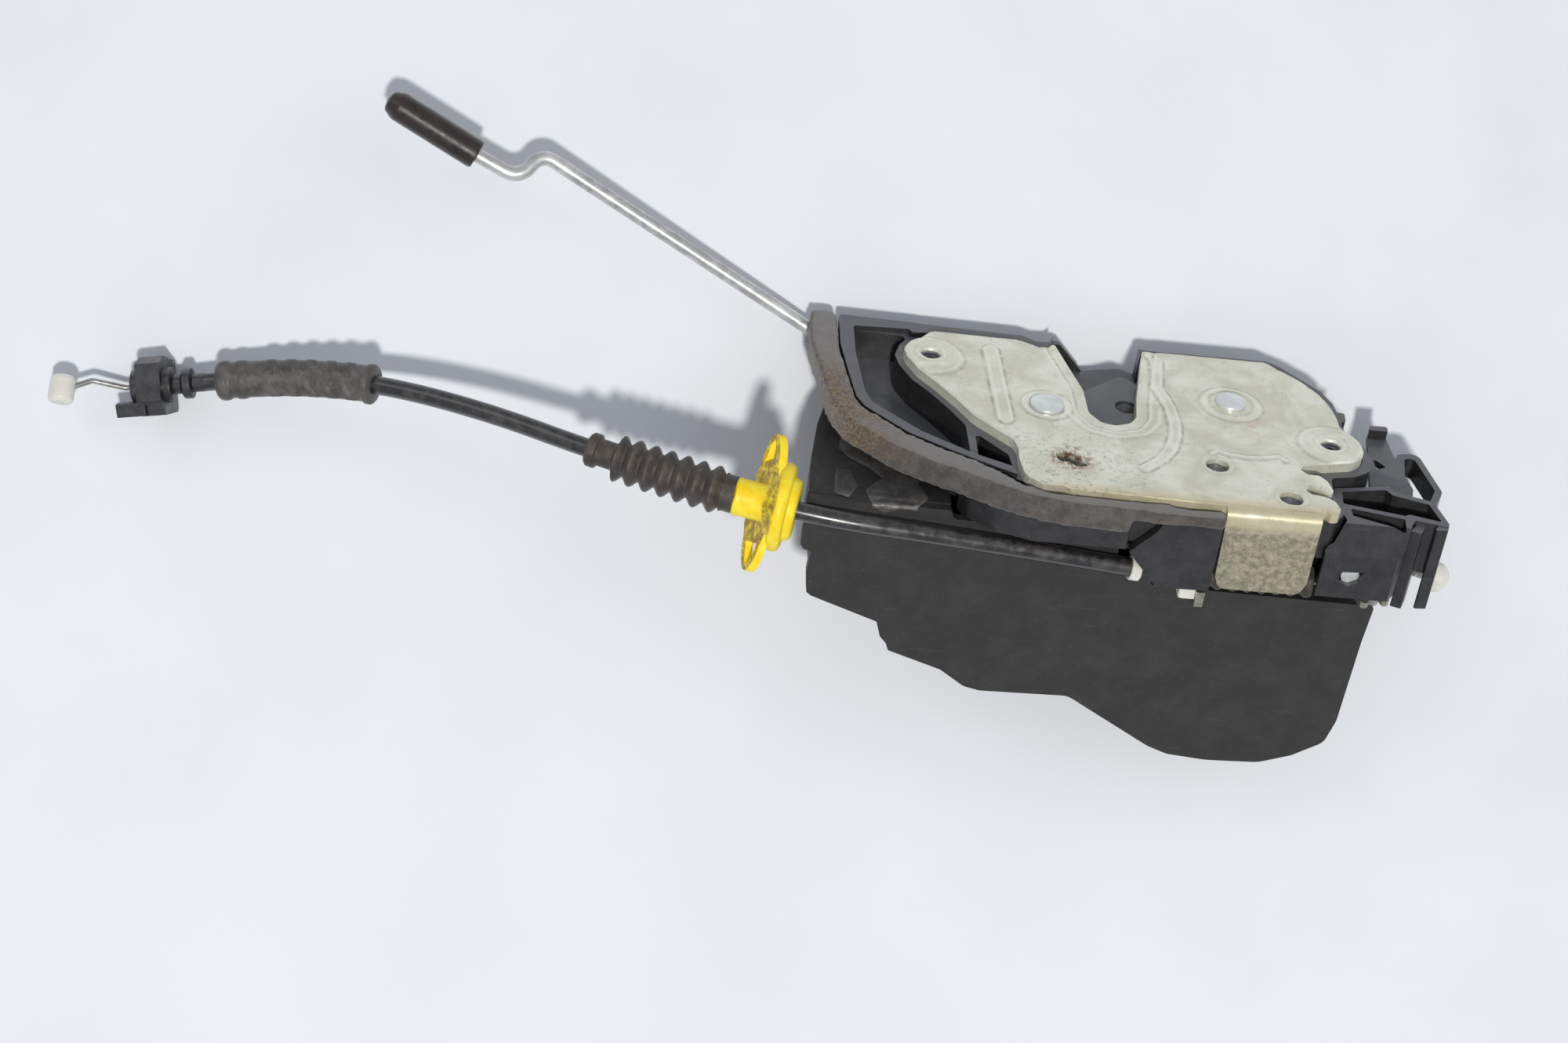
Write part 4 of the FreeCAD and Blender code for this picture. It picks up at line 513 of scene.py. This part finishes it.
MAT["plastic_white"] = moulded("white_plastic", (222, 220, 210), (240, 239, 232), (200, 192, 172), rough=(0.3, 0.5), dusty=0.35, specks=0.1, scratch=0.2)
MAT["switch_plastic"] = moulded("switch_plastic", (60, 60, 64), (84, 84, 88), (110, 110, 110), rough=(0.35, 0.6))
MAT["rubber_black"] = rubber("rubber_black", (38, 38, 40), (56, 56, 58), (96, 94, 92))
MAT["gaiter_rubber"] = rubber("gaiter_rubber", (44, 39, 36), (66, 59, 54), (112, 104, 96), rough=(0.42, 0.62), dusty=0.55)
MAT["sleeve_plastic"] = rubber("sleeve_plastic", (58, 54, 52), (84, 80, 77), (118, 114, 110), rough=(0.38, 0.58), dusty=0.6)
MAT["cap_rubber"] = rubber("cap_rubber", (27, 22, 20), (42, 34, 31), (70, 60, 54), rough=(0.25, 0.42), dusty=0.25, spec=0.5)


def yellow():
    k = Look("grommet_yellow", spec=0.4)
    base = k.mix(k.ramp(k.noise(5, 4), 0.3, 0.7), lin((250, 212, 20)), lin((255, 234, 66)))
    base = k.mix(k.ramp(k.noise(1.8, 5, 0.75, 0.4), 0.58, 0.74, 0.0, 0.6), base, lin((170, 140, 50)))
    base = k.mix(k.ramp(k.noise(0.5, 2), 0.7, 0.78, 0.0, 0.5), base, lin((110, 90, 46)))
    d = k.calc("MULTIPLY", k.facing((-0.85, 0.1, 0.5), 0.8, 0.97), k.ramp(k.noise(2.2, 5, 0.75), 0.35, 0.6, 0.0, 0.8))
    base = k.mix(d, base, lin((120, 84, 40)))
    k.colour(base).rough(k.ramp(k.noise(2, 4), 0.3, 0.7, 0.35, 0.6))
    k.relief((k.noise(0.35, 3), 0.3, 0.05), (k.noise(3, 3), 0.25, 0.2))
    k.b.inputs["Subsurface Weight"].default_value = 0.15
    k.b.inputs["Subsurface Radius"].default_value = (0.002, 0.0014, 0.0004)
    return k.m


MAT["grommet_yellow"] = yellow()


def sheath():
    k = Look("conduit_black", spec=0.6, coat=0.6, coat_rough=0.14)
    base = k.mix(k.ramp(k.noise(7, 4), 0.3, 0.7), lin((20, 20, 21)), lin((34, 33, 34)))
    base = k.mix(k.calc("MULTIPLY", k.facing(lo=0.2, hi=1.0), k.ramp(k.noise(3, 5, 0.7), 0.4, 0.7, 0.05, 0.45)), base, lin((98, 92, 88)))
    base = k.mix(k.ramp(k.noise(0.5, 2), 0.68, 0.76, 0.0, 0.5), base, lin((130, 124, 116)))
    k.colour(base).rough(k.ramp(k.noise(3, 4), 0.3, 0.7, 0.22, 0.4))
    k.relief((k.noise(0.5, 3), 0.2, 0.04), (k.noise(8, 2), 0.2, 0.3))
    return k.m


MAT["conduit_black"] = sheath()


def foam_look():
    """Open-cell foam tape, grey, with a gritty sandy patch along its lower left leg."""
    k = Look("foam_grey", spec=0.2, sheen=0.3)
    pore = k.cells(0.9)
    base = k.mix(k.ramp(k.noise(3.5, 5, 0.7), 0.3, 0.7), lin((74, 70, 67)), lin((98, 94, 90)))
    base = k.mix(k.ramp(pore, 0.05, 0.42, 0.35, 0.0), base, lin((50, 47, 45)))
    grit = k.noise(0.8, 4, 0.8)
    sand = k.mix(k.ramp(grit, 0.4, 0.62), lin((82, 68, 54)), lin((138, 120, 98)))
    d = PY.dot(Vector((0, 22.18, 26.57)))
    # painted highlight: the foam's face that looks along the plate's normal is lightened
    base = k.mix(k.calc("MULTIPLY", k.facing(tuple(PZ), 0.75, 1.0), 0.5), base, lin((146, 142, 138)))
    zone = k.calc("SUBTRACT", 1.0, k.along(tuple(PY), -8.0 + d, 12.0))
    left = k.calc("SUBTRACT", 1.0, k.along((1, 0, 0), -10.0, 10.0))
    patch = k.calc("MULTIPLY", k.calc("MULTIPLY", zone, left), k.ramp(k.noise(4.5, 5, 0.7), 0.36, 0.52))
    base = k.mix(patch, base, sand)
    base = k.mix(k.ramp(k.noise(0.5, 2), 0.68, 0.78, 0.0, 0.4), base, lin((150, 143, 132)))
    k.colour(base).rough(k.ramp(k.noise(1, 3), 0.3, 0.7, 0.8, 0.98))
    k.relief((pore, 0.3, 0.12), (k.calc("MULTIPLY", grit, patch), 0.6, 0.4), (k.noise(5, 4), 0.3, 0.4))
    return k.m


MAT["foam_grey"] = foam_look()


def table_look():
    k = Look("table", spec=0.3)
    base = k.mix(k.ramp(k.noise(60, 3), 0.3, 0.7), lin((226, 228, 231)), lin((231, 233, 236)))
    k.colour(base).rough(k.ramp(k.noise(30, 3), 0.3, 0.7, 0.6, 0.7))
    k.relief((k.noise(1.2, 3), 0.04, 0.02), (k.noise(80, 2), 0.05, 0.5))
    return k.m


floor_me.materials.append(table_look())

SLOT = {}
for p in frame["record"].get("subparts", []):
    SLOT[p["node"]] = p.get("material_slot")
for n, o in NODES.items():
    o.data.materials.clear()
    o.data.materials.append(MAT[SLOT[n]])
BODY = {n: o["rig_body"] for n, o in NODES.items()}


def finish_piece(o, mat, body, replaces=()):
    if not len(o.data.materials):
        o.data.materials.append(MAT[mat])
    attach(o, body)
    if replaces:
        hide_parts(*replaces)
    return o


# --------------------------------------------------------------------------
# cable pieces
# --------------------------------------------------------------------------
MM = 0.001
G0 = 93.5 * MM


def bellows():
    st, s0, s1 = [], G0 + 11.6 * MM, G0 + 51.2 * MM
    n = 220
    for i in range(n + 1):
        t = i / n
        s = s0 + (s1 - s0) * t
        mm = t * (s1 - s0) * 1000
        total = (s1 - s0) * 1000
        e = total - mm
        if mm < 3.6:
            r = 4.7 + 0.25 * smooth01((mm - 2.6) / 0.8) - 0.3 * (1 - smooth01(mm / 0.7))
        elif e < 8.2:
            r = 3.5 + 0.9 * smooth01((3.0 - e) / 0.7) - 0.5 * (1 - smooth01(e / 0.6)) + 0.9 * smooth01((e - 6.6) / 1.6)
        else:
            ph = (mm - 3.6) / (total - 11.8) * 6.5
            tri = 1 - abs(2 * (ph % 1.0) - 1)
            r = 4.25 + 1.8 * smooth01(tri) ** 0.9
        st.append((s, r * MM))
    st = [(s0, 2.5 * MM)] + st + [(s1, 2.5 * MM)]
    return sweep("cable_bellows", cable, st, 56)


gaiter = finish_piece(bellows(), "gaiter_rubber", "latch", ["cable_gaiter"])


def sleeve_piece():
    s0, s1 = LEN - 46.0 * MM, LEN - 3.4 * MM
    total = (s1 - s0) * 1000
    n = 200
    st = []
    for i in range(n + 1):
        mm = total * i / n
        r = 4.7
        r += 0.5 * smooth01((2.2 - mm) / 0.8)                     # rim at the right end
        e = total - mm
        for c, w, h in ((2.0, 1.3, 0.5), (6.4, 1.3, 0.35)):        # ring bulges at the left end
            r += h * math.exp(-((e - c) / w) ** 4)
        r -= 0.5 * (1 - smooth01(e / 0.5)) + 0.4 * (1 - smooth01(mm / 0.4))
        st.append((s0 + mm * MM, r * MM))
    st = [(s0, 2.5 * MM)] + st + [(s1, 2.5 * MM)]

    def ridges(s, a):
        mm = (s - s0) * 1000
        out = 0.0
        for row, centre in enumerate((0.75, -0.75)):
            da = (a - centre + math.pi) % (2 * math.pi) - math.pi
            if abs(da) > 0.6:
                continue
            for k in range(5):
                c = 4.8 + k * 5.4 + (1.5 if row else 0)
                u = (mm - c - da * 3.2) / 1.5
                v = da / 0.52
                out = max(out, 0.62 * smooth01((1.1 - abs(u)) / 0.35) * smooth01((1.05 - abs(v)) / 0.25))
        return out * MM

    return sweep("cable_sleeve_moulding", cable, st, 72, bump=ridges)


sleeve = finish_piece(sleeve_piece(), "sleeve_plastic", "latch", ["cable_sleeve"])


def grommet_piece():
    """The grommet's collar, stepped ring and thin plate with an open ear at each end."""
    verts, faces = [], []
    # its place and direction are the cable line's at G0
    p0, t0 = Vector((-0.0329, -0.0210, 0.0658)), Vector((0, 0, 0))
    p0, t0 = cable.at(G0)
    up = (Vector((0, 1, 0)) - t0 * t0.y).normalized()
    side = up.cross(t0)

    def at(a, b, c):
        return p0 + (side * a + up * b + t0 * c) * MM

    prof = [(2.5, -3.9), (6.6, -3.9), (7.5, -3.6), (7.9, -2.8), (8.1, -1.9), (9.6, -1.8), (10.6, -1.5), (11.1, -0.8), (11.3, 0.2), (11.1, 1.1), (10.6, 1.6),
            (9.9, 1.8), (9.4, 2.1), (8.6, 3.0), (7.0, 3.4), (5.6, 3.7), (4.9, 4.4), (4.75, 6.0), (4.75, 10.6), (4.9, 11.0), (4.8, 11.6), (4.4, 12.0), (2.5, 12.0)]
    n = 72
    for r, c in prof:
        for k in range(n):
            a = 2 * math.pi * k / n
            verts.append(at(r * math.cos(a), r * math.sin(a), c))
    for i in range(len(prof) - 1):
        for k in range(n):
            j = (k + 1) % n
            faces.append((i * n + k, i * n + j, (i + 1) * n + j, (i + 1) * n + k))
    # ear loops: a flat band swept round each slot
    for sgn in (1, -1):
        mid = []
        for k in range(25):
            t = k / 24
            a = math.pi * t
            mid.append((4.0 * math.cos(a) * (1 - 0.28 * math.sin(a)), 9.0 + 7.6 * math.sin(a) ** 0.8))
        base = len(verts)
        for k, (x, y) in enumerate(mid):
            a, b = mid[max(0, k - 1)], mid[min(len(mid) - 1, k + 1)]
            tx, ty = b[0] - a[0], b[1] - a[1]
            l = math.hypot(tx, ty) or 1
            nx, ny = -ty / l, tx / l
            for da, dc in ((-0.75, 0.3), (0.75, 0.3), (0.85, 0.6), (0.85, 2.1), (0.75, 2.4), (-0.75, 2.4), (-0.85, 2.1), (-0.85, 0.6)):
                verts.append(at(x + nx * da, sgn * (y + ny * da), dc + 3.0 - 0.5 * (x + nx * da)))
        for k in range(len(mid) - 1):
            for q in range(8):
                w = (q + 1) % 8
                faces.append((base + k * 8 + q, base + k * 8 + w, base + (k + 1) * 8 + w, base + (k + 1) * 8 + q))
        faces.append(tuple(base + q for q in range(8)))
        faces.append(tuple(base + (len(mid) - 1) * 8 + q for q in range(8)))
    hexa = [(-4.8, -10.2), (4.8, -10.2), (6.6, -6.0), (7.2, 0.0), (6.6, 6.0), (4.8, 10.2), (-4.8, 10.2), (-6.6, 6.0), (-7.2, 0.0), (-6.6, -6.0)]
    base = len(verts)
    for dc in (3.4, 5.2):
        for x, y in hexa:
            verts.append(at(x, y, dc - 0.5 * x))
    m = len(hexa)
    for q in range(m):
        w = (q + 1) % m
        faces.append((base + q, base + w, base + m + w, base + m + q))
    faces.append(tuple(base + q for q in range(m)))
    faces.append(tuple(base + m + q for q in range(m)))
    return sharpen(mesh_of("grommet", verts, faces), 50)


grommet = finish_piece(grommet_piece(), "grommet_yellow", "latch", ["cable_grommet"])

conduit.data.materials.append(MAT["conduit_black"])
finish_piece(conduit, "conduit_black", "latch", ["cable_conduit"])


# --------------------------------------------------------------------------
# soft solids: foam seal and the small release gaiter
# --------------------------------------------------------------------------
def remeshed(node, name, voxel, smooth, lumps):
    """The CAD solid's own form with soft edges and an uneven surface."""
    me = NODES[node].data.copy()
    me.materials.clear()
    o = link(name, me)
    r = o.modifiers.new("remesh", "REMESH")
    r.mode = "VOXEL"
    r.voxel_size = voxel
    s = o.modifiers.new("smooth", "SMOOTH")
    s.factor = 0.5
    s.iterations = smooth
    bpy.context.view_layer.update()
    done = bpy.data.meshes.new_from_object(o.evaluated_get(bpy.context.evaluated_depsgraph_get()))
    o.modifiers.clear()
    o.data = done
    co = np.zeros(len(done.vertices) * 3)
    done.vertices.foreach_get("co", co)
    no = np.zeros(len(done.vertices) * 3)
    done.vertices.foreach_get("normal", no)
    co, no = co.reshape(-1, 3), no.reshape(-1, 3)
    for i in range(len(co)):
        p = Vector(co[i])
        h = sum(a * noise.noise(p * (1000.0 / size)) for a, size in lumps)
        co[i] += no[i] * (h * MM)
    done.vertices.foreach_set("co", co.ravel())
    done.update()
    for p in done.polygons:
        p.use_smooth = True
    return o


foam = remeshed("foam_seal", "foam_strip", 0.0008, 6, ((0.3, 9.0), (0.10, 2.6)))
finish_piece(foam, "foam_grey", "latch", ["foam_seal"])

teeth = remeshed("release_gaiter", "release_boot", 0.00028, 3, ((0.08, 3.0),))
finish_piece(teeth, "gaiter_rubber", "latch", ["release_gaiter"])


# --------------------------------------------------------------------------
# the plate's pressed face
# --------------------------------------------------------------------------
THROAT = [(33.9, 11.8), (39.3, -10.6), (39.5, -21), (42.2, -25.2), (45.8, -26.2), (50, -24.6), (52, -21.4), (53.1, -12.6), (57.7, 11.6)]
BAND = [(59.6, 9.6), (60.8, 7.2), (60.0, 0.0), (59.1, -6.2), (60.4, -11.2), (61.4, -16.5), (61.7, -22.5), (61.1, -29.0), (59.0, -35.8), (55.8, -41.2), (51.2, -45.8)]
WAVE = [(69.7, -35.9), (71.3, -34.6), (74.4, -35.9), (78.5, -36.3), (82.7, -36.0), (87.1, -34.7), (88.8, -36.4)]


def seg_dist(pts, poly):
    """Distance of each of pts to a polyline."""
    best = np.full(len(pts), 1e9)
    for a, b in zip(poly, poly[1:]):
        a, b = np.array(a, float), np.array(b, float)
        d = b - a
        t = np.clip(((pts - a) @ d) / (d @ d), 0, 1)
        q = a + t[:, None] * d
        best = np.minimum(best, np.hypot(*(pts - q).T))
    return best


def sm(t):
    t = np.clip(t, 0, 1)
    return t * t * (3 - 2 * t)


def pressed_height(p):
    """Height of the pressed face above the flat plate, in mm."""
    x, y = p[:, 0], p[:, 1]

    def disc(cx, cy, r, soft):
        return sm((r - np.hypot(x - cx, y - cy)) / (soft * 0.85) + 0.5)

    def ridge(poly, half, soft):
        return sm((half - seg_dist(p, poly)) / (soft * 0.85) + 0.5)

    h = np.full(len(p), 0.42)
    dt = seg_dist(p, THROAT)
    h -= 0.32 * sm((3.3 - dt) / 0.5 + 0.5)                      # sunk margin round the throat
    h += 0.20 * np.exp(-((dt - 6.0) / 0.8) ** 2) * sm((-14.0 - y) / 6.0)
    h += 0.5 * ridge(BAND, 1.5, 1.1)
    h += 0.42 * disc(-0.4, -1.0, 8.8, 2.0) + 0.12 * disc(0, 0, 4.0, 1.2)
    h += 0.6 * ridge([(16.2, 4.6), (17.1, -28.4)], 2.0, 1.2)
    h += 0.30 * disc(28.6, -20.2, 6.5, 1.4) - 0.18 * disc(28.6, -20.2, 5.0, 0.8)
    h += 0.34 * disc(78.2, -11.9, 8.0, 1.8) - 0.20 * disc(78.2, -11.4, 6.2, 1.6)
    h += 0.42 * disc(102.1, -27.1, 8.3, 2.0) + 0.12 * disc(102.1, -27.1, 4.0, 1.2)
    h += 0.26 * ridge(WAVE, 0.7, 0.9) - 0.10 * sm((-36.4 - y) / 1.2) * sm((x - 66) / 3)
    for cx, cy, r in ((70.4, -40.7, 4.2), (87.6, -53.0, 4.2)):
        h += 0.10 * disc(cx, cy, r, 1.4)
    return h


def pressed_face():
    bm = bmesh.new()
    bm.from_mesh(NODES["latch_plate"].data)
    bmesh.ops.remove_doubles(bm, verts=bm.verts, dist=2e-6)
    bm.faces.ensure_lookup_table()
    top = {f for f in bm.faces if f.normal.dot(PZ) > 0.999 and all(abs(to_plate(v.co).z) < 0.02 for v in f.verts)}
    idx, pts, edges = {}, [], []
    for e in bm.edges:
        if len([f for f in e.link_faces if f in top]) != 1:
            continue
        ab = []
        for v in e.verts:
            if v.index not in idx:
                idx[v.index] = len(pts)
                q = to_plate(v.co)
                pts.append((q.x, q.y))
            ab.append(idx[v.index])
        edges.append(tuple(ab))
    bm.free()
    rim = np.array(pts)
    a, b = rim[[e[0] for e in edges]], rim[[e[1] for e in edges]]
    dense = np.concatenate([a + (b - a) * t for t in np.linspace(0, 1, 40)])
    tree = kdtree.KDTree(len(dense))
    for i, q in enumerate(dense):
        tree.insert((q[0], q[1], 0), i)
    tree.balance()

    def inside(p):
        x, y = p[:, 0], p[:, 1]
        c = np.zeros(len(p), bool)
        for (x0, y0), (x1, y1) in zip(a, b):
            if y0 == y1:
                continue
            hit = ((y0 > y) != (y1 > y)) & (x < (x1 - x0) * (y - y0) / (y1 - y0) + x0)
            c ^= hit
        return c

    step = 0.42
    lo, hi = rim.min(0), rim.max(0)
    gx, gy = np.meshgrid(np.arange(lo[0], hi[0], step), np.arange(lo[1], hi[1], step * 0.87))
    gx[1::2] += step / 2
    g = np.stack([gx.ravel(), gy.ravel()], 1)
    g = g[inside(g)]
    far = np.array([tree.find((q[0], q[1], 0))[2] for q in g])
    g, far = g[far > 0.22], far[far > 0.22]
    every = [Vector(q) for q in rim] + [Vector(q) for q in g]
    vs, _, fs, origs, _, _ = geometry.delaunay_2d_cdt(every, edges, [], 0, 1e-5)
    vs = np.array([(v.x, v.y) for v in vs])
    tri = np.array([f for f in fs if len(f) == 3])
    mid = vs[tri].mean(1)
    tri = tri[inside(mid)]
    dist = np.array([tree.find((q[0], q[1], 0))[2] for q in vs])
    h = pressed_height(vs)
    dt = seg_dist(vs, THROAT)
    lip = np.where(dt < 4.0, 1.3, 0.55)
    h = 0.015 + (h - 0.015) * np.sqrt(np.clip(1 - (1 - np.clip(dist / lip, 0, 1)) ** 2, 0, 1))
    verts = [P(q[0], q[1], z) for q, z in zip(vs, h)]
    o = mesh_of("plate_pressing", verts, [tuple(int(i) for i in t) for t in tri])
    # darker at the foot of a step: dirt in the groove and painted shade; its shoulder gets a painted highlight
    q = np.array([tuple(to_plate(v.co)) for v in o.data.vertices])
    e = 0.6
    here = pressed_height(q[:, :2])
    round_ = [pressed_height(q[:, :2] + np.array(d) * e) for d in ((1, 0), (-1, 0), (0, 1), (0, -1))]
    curve = sum(round_) / 4 - here
    for name, val in (("foot", np.clip(curve / 0.055, 0, 1)), ("crest_highlight", np.clip(-curve / 0.055, 0, 1))):
        att = o.data.attributes.new(name, "FLOAT", "POINT")
        att.data.foreach_set("value", val.astype(np.float32))
    flip = sum((p.normal.dot(PZ) < 0) for p in o.data.polygons)
    if flip > len(o.data.polygons) / 2:
        o.data.flip_normals()
    return o


pressing = pressed_face()
pressing.data.materials.append(PRESSED)
finish_piece(pressing, "plate_zinc", "latch")


# --------------------------------------------------------------------------
# the two M6 threads' coils
# --------------------------------------------------------------------------
def coil(name, cx, cy):
    verts, faces = [], []
    turns, n = 5, 40
    for i in range(turns * n + 1):
        a = 2 * math.pi * i / n
        z = -0.5 - 1.0 * i / n
        for r, dz in ((2.56, 0.46), (2.2, 0.07), (2.2, -0.07), (2.56, -0.46)):
            verts.append(P(cx + r * math.cos(a), cy + r * math.sin(a), z + dz * 0.98))
    for i in range(turns * n):
        for q in range(4):
            w = (q + 1) % 4
            faces.append((i * 4 + q, i * 4 + w, (i + 1) * 4 + w, (i + 1) * 4 + q))
    faces.append((0, 1, 2, 3))
    faces.append(tuple(turns * n * 4 + q for q in range(4)))
    return sharpen(mesh_of(name, verts, faces), 40)


for i, (cx, cy) in enumerate(((0.0, 0.0), (102.1, -27.1))):
    finish_piece(coil("thread_coil_%d" % (i + 1), cx, cy), "steel_dark", "latch")

# --------------------------------------------------------------------------
# torn film left on the shelf, and marks on the box's cover
# --------------------------------------------------------------------------
def on_surface(px, py, nodes):
    """Where the camera's ray through a pixel of the 2000 x 1330 frame meets one of the nodes."""
    d = camera.matrix_world.to_3x3() @ Vector(((px - 1000) / 4237.0, -(py - 665) / 4237.0, -1.0))
    o = camera.matrix_world.translation
    best = None
    for n in nodes:
        hit, loc, nor, _ = NODES[n].ray_cast(o, d.normalized())
        if hit and (best is None or (loc - o).length < (best[0] - o).length):
            best = (loc.copy(), nor.copy())
    return best


def film(name, outline, nodes, lift=0.35, step=2.5, crumple=0.5):
    ol = [Vector(p) for p in outline]
    x0, x1 = min(p.x for p in ol), max(p.x for p in ol)
    y0, y1 = min(p.y for p in ol), max(p.y for p in ol)
    pts = list(ol)
    m = len(ol)
    y = y0
    while y < y1:
        x = x0
        while x < x1:
            c = False
            for a, b in zip(ol, ol[1:] + ol[:1]):
                if (a.y > y) != (b.y > y) and x < (b.x - a.x) * (y - a.y) / (b.y - a.y) + a.x:
                    c = not c
            if c and min((Vector((x, y)) - geometry.intersect_point_line(Vector((x, y)), a, b)[0].to_2d()).length for a, b in zip(ol, ol[1:] + ol[:1])) > step * 0.5:
                pts.append(Vector((x, y)))
            x += step
        y += step
    vs, _, fs, _, _, _ = geometry.delaunay_2d_cdt(pts, [(i, (i + 1) % m) for i in range(m)], [], 1, 1e-4)
    verts = []
    last = None
    for i, v in enumerate(vs):
        h = on_surface(v.x, v.y, nodes)
        if h is None:
            h = last
        last = h
        loc, nor = h
        edge = 0.0 if i < m else 1.0
        q = Vector((v.x, v.y, 0)) * 0.05
        k = lift + edge * crumple * (0.5 + 0.5 * noise.noise(q * 1.3)) + 0.25 * noise.noise(q * 3.1)
        verts.append(loc + (camera.matrix_world.translation - loc).normalized() * (max(0.12, k) * MM))
    return mesh_of(name, verts, [tuple(f) for f in fs])


FILM = moulded("film_grey", (58, 56, 55), (84, 82, 80), (128, 124, 119), rough=(0.3, 0.5), dusty=0.8, specks=0.6)
for i, ol in enumerate((
    [(1072, 552), (1085, 546), (1112, 566), (1128, 570), (1140, 590), (1160, 596), (1176, 610), (1166, 624), (1150, 618), (1128, 612), (1108, 596), (1084, 584), (1070, 572)],
    [(1104, 624), (1120, 612), (1146, 606), (1174, 618), (1184, 636), (1170, 652), (1150, 650), (1128, 654), (1112, 646)],
    [(1066, 596), (1084, 600), (1094, 620), (1082, 634), (1064, 628)],
)):
    f = film("torn_film_%d" % (i + 1), ol, ["actuator_housing", "actuator_cover", "latch_housing"])
    f.data.materials.append(FILM)
    finish_piece(f, "plastic_black", "latch")
